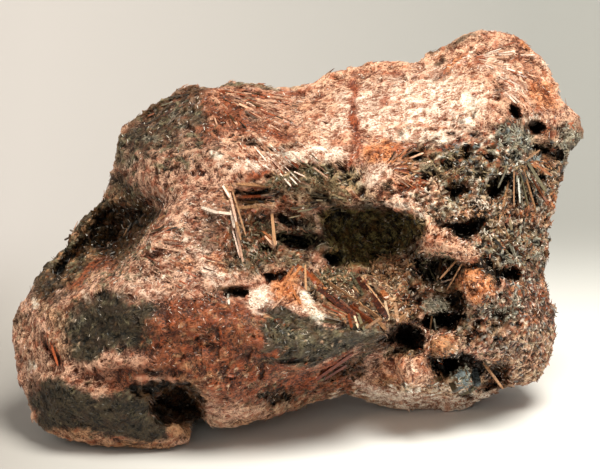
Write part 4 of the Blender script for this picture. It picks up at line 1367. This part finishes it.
# Thickets of small crystals: x, y, half width, half height, turn, number, shortest and longest and width in
# millimetres, lean from upright in radians, ground, share of light.
THICKETS: tuple[tuple, ...] = (
    (520, 246, 26, 18, 0, 110, 0.25, 0.9, 0.22, 1.4, SLATE, 0.75),
    (515, 140, 20, 14, -30, 60, 0.25, 0.7, 0.25, 1.35, SLATE, 0.7),
    (570, 140, 10, 16, 0, 36, 0.2, 0.6, 0.25, 1.35, SLATE, 0.7),
    (490, 175, 20, 14, 0, 50, 0.25, 0.8, 0.25, 1.3, DRUSE, 0.7),
    (445, 165, 26, 12, 0, 60, 0.25, 0.7, 0.23, 1.3, DRUSE, 0.6),
    (300, 178, 36, 9, 12, 112, 0.3, 0.9, 0.21, 1, OLIVE, 0.7),
    (330, 188, 26, 8, -30, 80, 0.3, 0.96, 0.21, 1, DRUSE, 0.6),
    (258, 240, 26, 22, 0, 128, 0.3, 1.08, 0.21, 1, OLIVE, 0.6),
    (440, 265, 22, 14, 0, 64, 0.3, 0.84, 0.21, 1, OLIVE, 0.6),
    (365, 232, 40, 22, 0, 112, 0.25, 0.72, 0.21, 0.9, UMBER, 0.7),
    (390, 268, 22, 14, 0, 96, 0.25, 0.78, 0.23, 1, TAN, 0.7),
    (335, 278, 24, 9, 0, 80, 0.25, 0.72, 0.21, 1, OLIVE, 0.7),
    (500, 305, 24, 14, 0, 50, 0.2, 0.6, 0.25, 1.3, SLATE, 0.6),
    (435, 307, 14, 9, 0, 40, 0.2, 0.6, 0.23, 1.3, SLATE, 0.8),
    (95, 232, 32, 20, 40, 112, 0.3, 0.96, 0.23, 1, UMBER, 0.7),
    (300, 235, 26, 12, 0, 64, 0.25, 0.84, 0.21, 1, OLIVE, 0.5),
    (180, 402, 24, 16, 0, 48, 0.3, 0.96, 0.25, 0.9, UMBER, 0.6),
    (466, 378, 16, 14, 0, 48, 0.25, 0.72, 0.25, 1, SLATE, 0.7),
    (412, 185, 14, 6, 10, 41, 0.3, 0.84, 0.21, 1.1, RUST, 0.7),
    (545, 175, 12, 20, -30, 30, 0.2, 0.7, 0.2, 1.3, TAN, 0.7),
    (485, 212, 24, 10, 0, 40, 0.2, 0.6, 0.23, 1.3, TAN, 0.7),
    (398, 312, 22, 12, 0, 64, 0.25, 0.72, 0.21, 1, TAN, 0.6),
    (350, 370, 14, 10, 0, 32, 0.25, 0.72, 0.21, 1, UMBER, 0.6),
    (500, 375, 12, 14, 0, 38, 0.25, 0.72, 0.23, 1, UMBER, 0.7),
    # the white crystals
    (316, 313, 11, 4, -35, 36, 0.12, 0.35, 0.2, 1.3, WHITE, 0.6),
    (304, 298, 2.5, 7, 30, 24, 0.12, 0.35, 0.18, 1.3, WHITE, 0.7),
    (258, 300, 9, 9, 0, 90, 0.12, 0.4, 0.18, 1.3, CREAM, 0.8),
    (297, 309, 7, 4, -30, 30, 0.12, 0.35, 0.18, 1.3, PINK, 0.7),
    (465, 378, 8, 10, 0, 60, 0.15, 0.5, 0.25, 1.1, STEEL, 0.7),
    (478, 205, 12, 6, 0, 50, 0.12, 0.35, 0.2, 1.3, CREAM, 0.8),
    # small bright cleavages all over, and more of them at the porous end
    (300, 240, 290, 190, -8, 800, 0.12, 0.35, 0.07, 1.5, CREAM, 0.7),
    (350, 110, 240, 50, 8, 300, 0.12, 0.45, 0.08, 1.5, WHITE, 0.8),
    (170, 250, 80, 60, -20, 250, 0.12, 0.45, 0.07, 1.5, WHITE, 0.7),
    (490, 265, 95, 125, 0, 600, 0.12, 0.35, 0.12, 1.5, CREAM, 0.9),
    (490, 265, 95, 125, 0, 250, 0.12, 0.45, 0.14, 1.5, RUST, 0.7),
    (360, 290, 50, 30, 0, 200, 0.12, 0.4, 0.12, 1.4, PALE, 0.9),
)


@dataclass
class CrystalSetter:
    """Finds where crystals stand on the surfaces, as they are seen in the display view."""

    surfaces: list[bpy.types.Object]
    seed: int = 11
    sliver_mm: float = 0.7
    flat_lean: float = 1.3

    def __post_init__(self) -> None:
        """Joins the surfaces into one tree for rays."""
        points, faces = [], []
        for obj in self.surfaces:
            start = len(points)
            points += [vertex.co.copy() for vertex in obj.data.vertices]
            faces += [tuple(start + k for k in face.vertices) for face in obj.data.polygons]
        self.tree = BVHTree.FromPolygons(points, faces)
        self.chance = np.random.default_rng(self.seed)

    def hit(self, x: float, y: float) -> tuple[Vector, Vector] | None:
        """The place and normal of the surface that shows at a view point, or nothing beside the lump."""
        place, normal, _, _ = self.tree.ray_cast(VIEW.eye(), VIEW.ray(x, y))
        return None if place is None else (place, normal)

    def laid(self, rows: tuple[tuple, ...], above: float = 0.25, close: bool = False) -> list[Crystal]:
        """The crystals of a table of feet and tips.

        Args:
            rows: the table.
            above: how far the tip stands above the surface behind it, in millimetres.
            close: whether the crystals hug the surface, and are left out where it steps away under them.

        Returns:
            The crystals.
        """
        out = Vector(VIEW.axes()[2])
        step = 1.2 if close else 3.0
        made = []
        for x0, y0, x1, y1, wide, lift, thick, ground, share in rows:
            start, end = self.hit(x0, y0), self.hit(x1, y1)
            if start is None:
                continue
            depth = start[0].dot(out) + lift * MM
            if end is not None and abs(end[0].dot(out) - start[0].dot(out)) < step * MM:
                depth = max(depth, end[0].dot(out) + above * MM)
            elif close:
                continue
            for part in () if close else (0.4, 0.6, 0.8):
                between = self.hit(x0 + (x1 - x0) * part, y0 + (y1 - y0) * part)
                if between is not None:
                    needed = start[0].dot(out) + (between[0].dot(out) + 0.15 * MM - start[0].dot(out)) / part
                    depth = max(depth, min(needed, depth + 2.0 * MM))
            ray = VIEW.ray(x1, y1)
            tip = VIEW.eye() + ray * ((depth - VIEW.eye().dot(out)) / ray.dot(out))
            along = (tip - start[0]).normalized()
            foot = start[0] - along * (step / 8) * MM
            made += self.slivers(foot, tip, out, wide * VIEW.point_size, thick, ground, share)
        return made

    def slivers(self, foot: Vector, tip: Vector, out: Vector, wide_mm: float, thick: float, ground: Ground,
                share: float) -> list[Crystal]:
        """A crystal as a bundle of slivers, because it is cleaved along its length."""
        number = max(1, round(wide_mm / self.sliver_mm))
        across = (tip - foot).cross(out).normalized()
        made = []
        for k in range(number):
            shift = across * ((k + 0.5) / number - 0.5) * wide_mm * MM
            short = 1 - 0.1 * self.chance.random() if number > 1 else 1
            up = out + Vector(self.chance.normal(size=3)) * 0.35
            size = wide_mm / number * (1.0 + 0.5 * self.chance.random())
            raised = out * (0.05 * self.chance.normal() * wide_mm * MM)
            made.append(Crystal(foot + shift, foot + shift + (tip - foot) * short + raised, up, size,
                                max(size * 0.7, wide_mm * thick * 0.6), ground,
                                share + 0.5 * (self.chance.random() - 0.5)))
        return made

    def fan(self, rows: tuple[tuple, ...]) -> list[Crystal]:
        """Laths that lie on the surface and run out from a centre."""
        laths = []
        for x, y, first, last, inner, outer, number, width, grounds in rows:
            for k in range(number):
                angle = math.radians(first + (last - first) * self.chance.random())
                reach = inner + (outer - inner) * self.chance.random()
                long = 6 + 12 * self.chance.random()
                ends = [(x + r * math.cos(angle), y - r * math.sin(angle)) for r in (reach, reach + long)]
                laths.append((*ends[0], *ends[1], width * (0.5 + 0.8 * self.chance.random()), 0.12, 0.5,
                              grounds[k % len(grounds)], 0.2 + 0.7 * self.chance.random()))
        return self.laid(tuple(laths), above=0.06, close=True)

    def thicket(self, rows: tuple[tuple, ...]) -> list[Crystal]:
        """Crystals strewn by chance over ovals of the view."""
        made = []
        for x, y, wide, high, turn, number, short, long, thick, lean, ground, share in rows:
            angle = math.radians(turn)
            for _ in range(number):
                reach, way = math.sqrt(self.chance.random()), self.chance.random() * 2 * math.pi
                a, b = reach * wide * math.cos(way), reach * high * math.sin(way)
                found = self.hit(x + a * math.cos(angle) + b * math.sin(angle),
                                 y - a * math.sin(angle) + b * math.cos(angle))
                if found is None:
                    continue
                side = Vector(self.chance.normal(size=3))
                side = (side - found[1] * side.dot(found[1])).normalized()
                least, more = (0.4, 0.9) if lean < self.flat_lean else (0.8, 0.25)
                tilt = lean * (least + more * self.chance.random())
                along = found[1] * math.cos(tilt) + side * math.sin(tilt)
                length = short + (long - short) * self.chance.random() ** 1.5
                size = thick * (0.6 + 0.9 * self.chance.random())
                made.append(Crystal(found[0] - along * 0.25 * MM, found[0] + along * length * MM, side.cross(along),
                                    size, size * 0.6, ground, share + 0.5 * (self.chance.random() - 0.5)))
        return made


@dataclass
class CrystalGrower:
    """Sets crystals of given places, sizes and grounds, with geometry nodes."""

    sockets: dict[str, str] = field(default_factory=dict)

    def tree(self, material: bpy.types.Material) -> bpy.types.GeometryNodeTree:
        """Makes the node tree that puts a unit crystal on every vertex."""
        tree = bpy.data.node_groups.new("crystals_on_points", "GeometryNodeTree")
        face = tree.interface
        face.new_socket("Points", in_out="INPUT", socket_type="NodeSocketGeometry")
        self.sockets["Crystal"] = face.new_socket("Crystal", in_out="INPUT", socket_type="NodeSocketObject").identifier
        face.new_socket("Crystals", in_out="OUTPUT", socket_type="NodeSocketGeometry")
        given = add_node(tree, "NodeGroupInput").outputs
        write = NodeWriter(tree)
        spin = write.turned(write.kept("along", "FLOAT_VECTOR"), write.kept("up", "FLOAT_VECTOR"))
        crystal = add_node(tree, "GeometryNodeObjectInfo", {"Object": given["Crystal"]}).outputs["Geometry"]
        grown = add_node(tree, "GeometryNodeInstanceOnPoints",
                         {"Points": given["Points"], "Instance": crystal, "Rotation": spin,
                          "Scale": write.kept("size", "FLOAT_VECTOR")}).outputs[0]
        real = add_node(tree, "GeometryNodeRealizeInstances", {"Geometry": grown}).outputs[0]
        done = add_node(tree, "GeometryNodeSetMaterial", {"Geometry": real, "Material": material}).outputs[0]
        add_node(tree, "NodeGroupOutput", {"Crystals": done})
        return tree

    def grow(self, name: str, crystals: list[Crystal], unit_crystal: bpy.types.Object,
             tree: bpy.types.GeometryNodeTree) -> bpy.types.Object:
        """Makes one piece of a list of crystals.

        Args:
            name: the piece's name.
            crystals: what it is made of.
            unit_crystal: the unit shape.
            tree: the node tree.

        Returns:
            The piece, as a plain mesh.
        """
        mesh = bpy.data.meshes.new(name)
        mesh.from_pydata([crystal.foot for crystal in crystals], [], [])
        store(mesh, "along", np.array([(crystal.tip - crystal.foot).normalized() for crystal in crystals]))
        store(mesh, "up", np.array([crystal.up.normalized() for crystal in crystals]))
        store(mesh, "size", np.array([(crystal.wide_mm * MM, crystal.thick_mm * MM, (crystal.tip - crystal.foot).length)
                                      for crystal in crystals]))
        store(mesh, "dark", np.array([linear(crystal.ground.value.dark) for crystal in crystals]))
        store(mesh, "light", np.array([linear(crystal.ground.value.light) for crystal in crystals]))
        store(mesh, "grain", np.array([crystal.share for crystal in crystals]))
        holder = new_object(f"{name}_feet", mesh)
        modifier = holder.modifiers.new("crystals", "NODES")
        modifier.node_group = tree
        modifier[self.sockets["Crystal"]] = unit_crystal
        made = evaluated_mesh(holder)
        bpy.data.objects.remove(holder)
        log_piece(name, made)
        return new_object(name, made)


@dataclass
class Studio:
    """Floor, backdrop and lights."""

    floor_colours: tuple[str, str] = ("#A6A19F", "#F2F2F4")
    card_colours: tuple[str, str] = ("#CAC5C6", "#A8A8A8")
    reach: float = 1.6

    def build(self) -> None:
        """Makes the whole studio."""
        self.floor()
        self.light("key_softbox", (0.09, -0.12, 0.37), 0.23, 2.3, "#FFFBEC")
        self.light("left_fill", (-0.36, -0.16, 0.26), 0.3, 0.4, "#FFFBEC")
        self.light("front_fill", (-0.08, -0.55, 0.12), 0.5, 0.8, "#FFFBEC")
        world = bpy.data.worlds.new("studio_air")
        world.use_nodes = True
        shade = world.node_tree.nodes["Background"]
        shade.inputs["Color"].default_value = (*linear("#DEDBCE"), 1)
        shade.inputs["Strength"].default_value = 0.25
        scene = bpy.context.scene
        scene.world = world
        scene.view_settings.view_transform = "Standard"

    def light(self, name: str, place: tuple[float, float, float], size: float, power: float, colour: str) -> None:
        """Adds a soft light that looks at the specimen."""
        data = bpy.data.lights.new(name, "AREA")
        data.shape, data.size, data.energy, data.color = "DISK", size, power, linear(colour)
        obj = bpy.data.objects.new(name, data)
        obj.location = place
        obj.rotation_euler = (Vector((0, 0, 0.025)) - Vector(place)).to_track_quat("-Z", "Y").to_euler()
        bpy.context.scene.collection.objects.link(obj)

    def floor(self) -> None:
        """A pale sheet that lies under the specimen and curves up behind it."""
        points, faces = [], []
        rows = [(-self.reach, 0.0), (0.10, 0.0)]
        for k in range(1, 13):
            angle = math.radians(90 * k / 12)
            rows.append((0.10 + 0.12 * math.sin(angle), 0.12 - 0.12 * math.cos(angle)))
        rows.append((0.22, self.reach))
        for along, height in rows:
            points += [(-self.reach, along, height), (self.reach, along, height)]
        faces += [(2 * k, 2 * k + 1, 2 * k + 3, 2 * k + 2) for k in range(len(rows) - 1)]
        mesh = bpy.data.meshes.new("paper_sweep")
        mesh.from_pydata(points, [], faces)
        mesh.polygons.foreach_set("use_smooth", np.ones(len(mesh.polygons), bool))
        obj = new_object("paper_sweep", mesh)
        material = bpy.data.materials.new("matt_paper")
        material.use_nodes = True
        tree = material.node_tree
        shader = tree.nodes["Principled BSDF"]
        place = add_node(tree, "ShaderNodeTexCoord").outputs["Object"]
        parts = add_node(tree, "ShaderNodeSeparateXYZ", {0: place}).outputs
        rights = [add_node(tree, "ShaderNodeMapRange",
                           {"Value": parts[0], "From Min": -0.05, "From Max": end}).outputs[0] for end in (0.01, 0.045)]
        back = add_node(tree, "ShaderNodeMapRange", {"Value": parts[1], "From Min": 0.03, "From Max": 0.115},
                        interpolation_type="SMOOTHSTEP").outputs[0]
        sides = [add_node(tree, "ShaderNodeMix", {0: right, 6: (*linear(pair[0]), 1), 7: (*linear(pair[1]), 1)},
                          data_type="RGBA").outputs[2]
                 for right, pair in zip(rights, (self.floor_colours, self.card_colours))]
        colour = add_node(tree, "ShaderNodeMix", {0: back, 6: sides[0], 7: sides[1]}, data_type="RGBA").outputs[2]
        tree.links.new(colour, shader.inputs["Base Color"])
        shader.inputs["Roughness"].default_value = 0.9
        # seen from behind, the sheet is clear, so that the specimen can be looked at from all round
        clear = add_node(tree, "ShaderNodeBsdfTransparent").outputs[0]
        behind = add_node(tree, "ShaderNodeNewGeometry").outputs["Backfacing"]
        both = add_node(tree, "ShaderNodeMixShader", {0: behind, 1: shader.outputs[0], 2: clear}).outputs[0]
        tree.links.new(both, tree.nodes["Material Output"].inputs["Surface"])
        mesh.materials.append(material)
        obj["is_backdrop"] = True


class Cover(Enum):
    """What covers a stretch of the surface: fine felt, flat chips of crystal, or the coarser felt of the back."""

    FELT = "felt"
    CHIPS = "chips"
    BACK = "back"


# The stretches of cover: name, lowest and highest x and y in the view, and the cover.
STRETCHES: tuple[tuple, ...] = (
    ("crown_felt", 0, 400, 0, 175, Cover.FELT), ("ridge_felt", 0, 400, 175, 300, Cover.FELT),
    ("flank_felt", 0, 400, 300, 469, Cover.FELT), ("corner_felt", 400, 600, 0, 469, Cover.FELT),
    ("upper_chips", 360, 600, 0, 270, Cover.CHIPS), ("lower_chips", 360, 600, 270, 469, Cover.CHIPS),
    ("back_felt", 0, 600, 0, 469, Cover.BACK),
)


@dataclass
class Specimen:
    """The whole specimen: surfaces, felt and crystals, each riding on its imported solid."""

    box: tuple[tuple[float, ...], tuple[float, ...]]
    field: StoneField = field(default_factory=StoneField)
    bare_foot_mm: float = 0.8

    def build(self) -> None:
        """Builds and places every piece."""
        stone = FeltedDiaspore("felted_diaspore").build()
        cleaved = CleavedBlade("cleaved_diaspore_blades").build()
        skin = BrokenSkin("diaspore_mass").build("diaspore_surface", stone)
        self.ride(skin, "diaspore_mass")
        self.felt(skin, cleaved)
        crusts = {}
        for node in ("main_hollow_crystals", "wedge_pocket_crystals", "low_pocket_crystals"):
            crusts[node] = BrokenSkin(node, 0.35, False, 0.4).build(f"{node}_crust", stone)
        self.crystals(skin, crusts, cleaved)

    def ride(self, piece: bpy.types.Object, node: str | None = None) -> None:
        """Joins a piece to the frame, and in place of a node if one is given.

        Args:
            piece: the piece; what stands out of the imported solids' box is pressed back to its faces.
            node: the node that it replaces, if it replaces one.
        """
        points = np.clip(vertex_array(piece.data), *self.box)
        piece.data.vertices.foreach_set("co", points.ravel())
        piece.data.update()
        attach(piece, "root")
        if node:
            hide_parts(node)

    def felt(self, skin: bpy.types.Object, material: bpy.types.Material) -> None:
        """Grows every stretch of felt."""
        tree, sockets = FeltGrower.tree(material)
        blade = unit_blade("felt_blade", 3, ((0, 1.0, 1.0), (1, 0.35, 0.5)))
        points, normals = vertex_array(skin.data), vertex_array(skin.data, "normal")
        seen, front = VIEW.seen_at(points), self.field.front_share(points, normals)
        felt = np.empty(len(points), np.float32)
        skin.data.attributes["felt"].data.foreach_get("value", felt)
        porous = self.field.porous(points)
        shares = {Cover.FELT: felt * front * (1 - porous), Cover.CHIPS: felt * front * porous,
                  Cover.BACK: felt * (1 - front)}
        for name, left, right, top, bottom, cover in STRETCHES:
            within = (seen[:, 0] >= left) & (seen[:, 0] < right) & (seen[:, 1] >= top) & (seen[:, 1] < bottom)
            store(skin.data, name, shares[cover] * within * (points[:, 2] > self.bare_foot_mm * MM))
        growers = {Cover.FELT: FeltGrower(), Cover.CHIPS: FeltGrower(6.0, (0.25, 0.7), (0.15, 0.4)),
                   Cover.BACK: FeltGrower(2.2, (0.4, 1.4), (0.1, 0.24))}
        for name, *_, cover in STRETCHES:
            self.ride(growers[cover].grow(name, skin, name, blade, tree, sockets))
        bpy.data.objects.remove(blade)

    def crystals(self, skin: bpy.types.Object, crusts: dict[str, bpy.types.Object],
                 material: bpy.types.Material) -> None:
        """Sets the crystals of the hollows and those that lie on the surface."""
        setter = CrystalSetter([skin, *crusts.values()])
        grower = CrystalGrower()
        tree = grower.tree(material)
        lath = unit_blade("unit_crystal", 4, ((0, 0.9, 0.9), (0.86, 1.0, 1.0), (1, 0.5, 0.45)))
        sets = (("main_hollow_blades", MAIN_HOLLOW_BLADES, "main_hollow_crystals"),
                ("wedge_pocket_needles", WEDGE_NEEDLES, "wedge_pocket_crystals"),
                ("low_pocket_blocks", LOW_POCKET_BLOCKS, "low_pocket_crystals"))
        for name, rows, node in sets:
            grown = grower.grow(name, setter.laid(rows, above=0.5), lath, tree)
            self.ride(grown, node)
            self.ride(crusts[node], node)
        free = setter.laid(SURFACE_CRYSTALS) + setter.thicket(THICKETS) + setter.fan(FANS)
        self.ride(grower.grow("surface_crystals", free, lath, tree))
        bpy.data.objects.remove(lath)


def main() -> None:
    """Builds the dressed specimen and its studio, and notes its size."""
    logging.basicConfig(level=logging.INFO, format="%(message)s")
    # without a seed, the noise of whole vectors starts elsewhere on each run
    noise.seed_set(NOISE_SEED)
    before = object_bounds()
    Specimen(tuple(tuple(corner) for corner in before)).build()
    Studio().build()
    VIEW.camera()


if __name__ == "__main__":
    main()
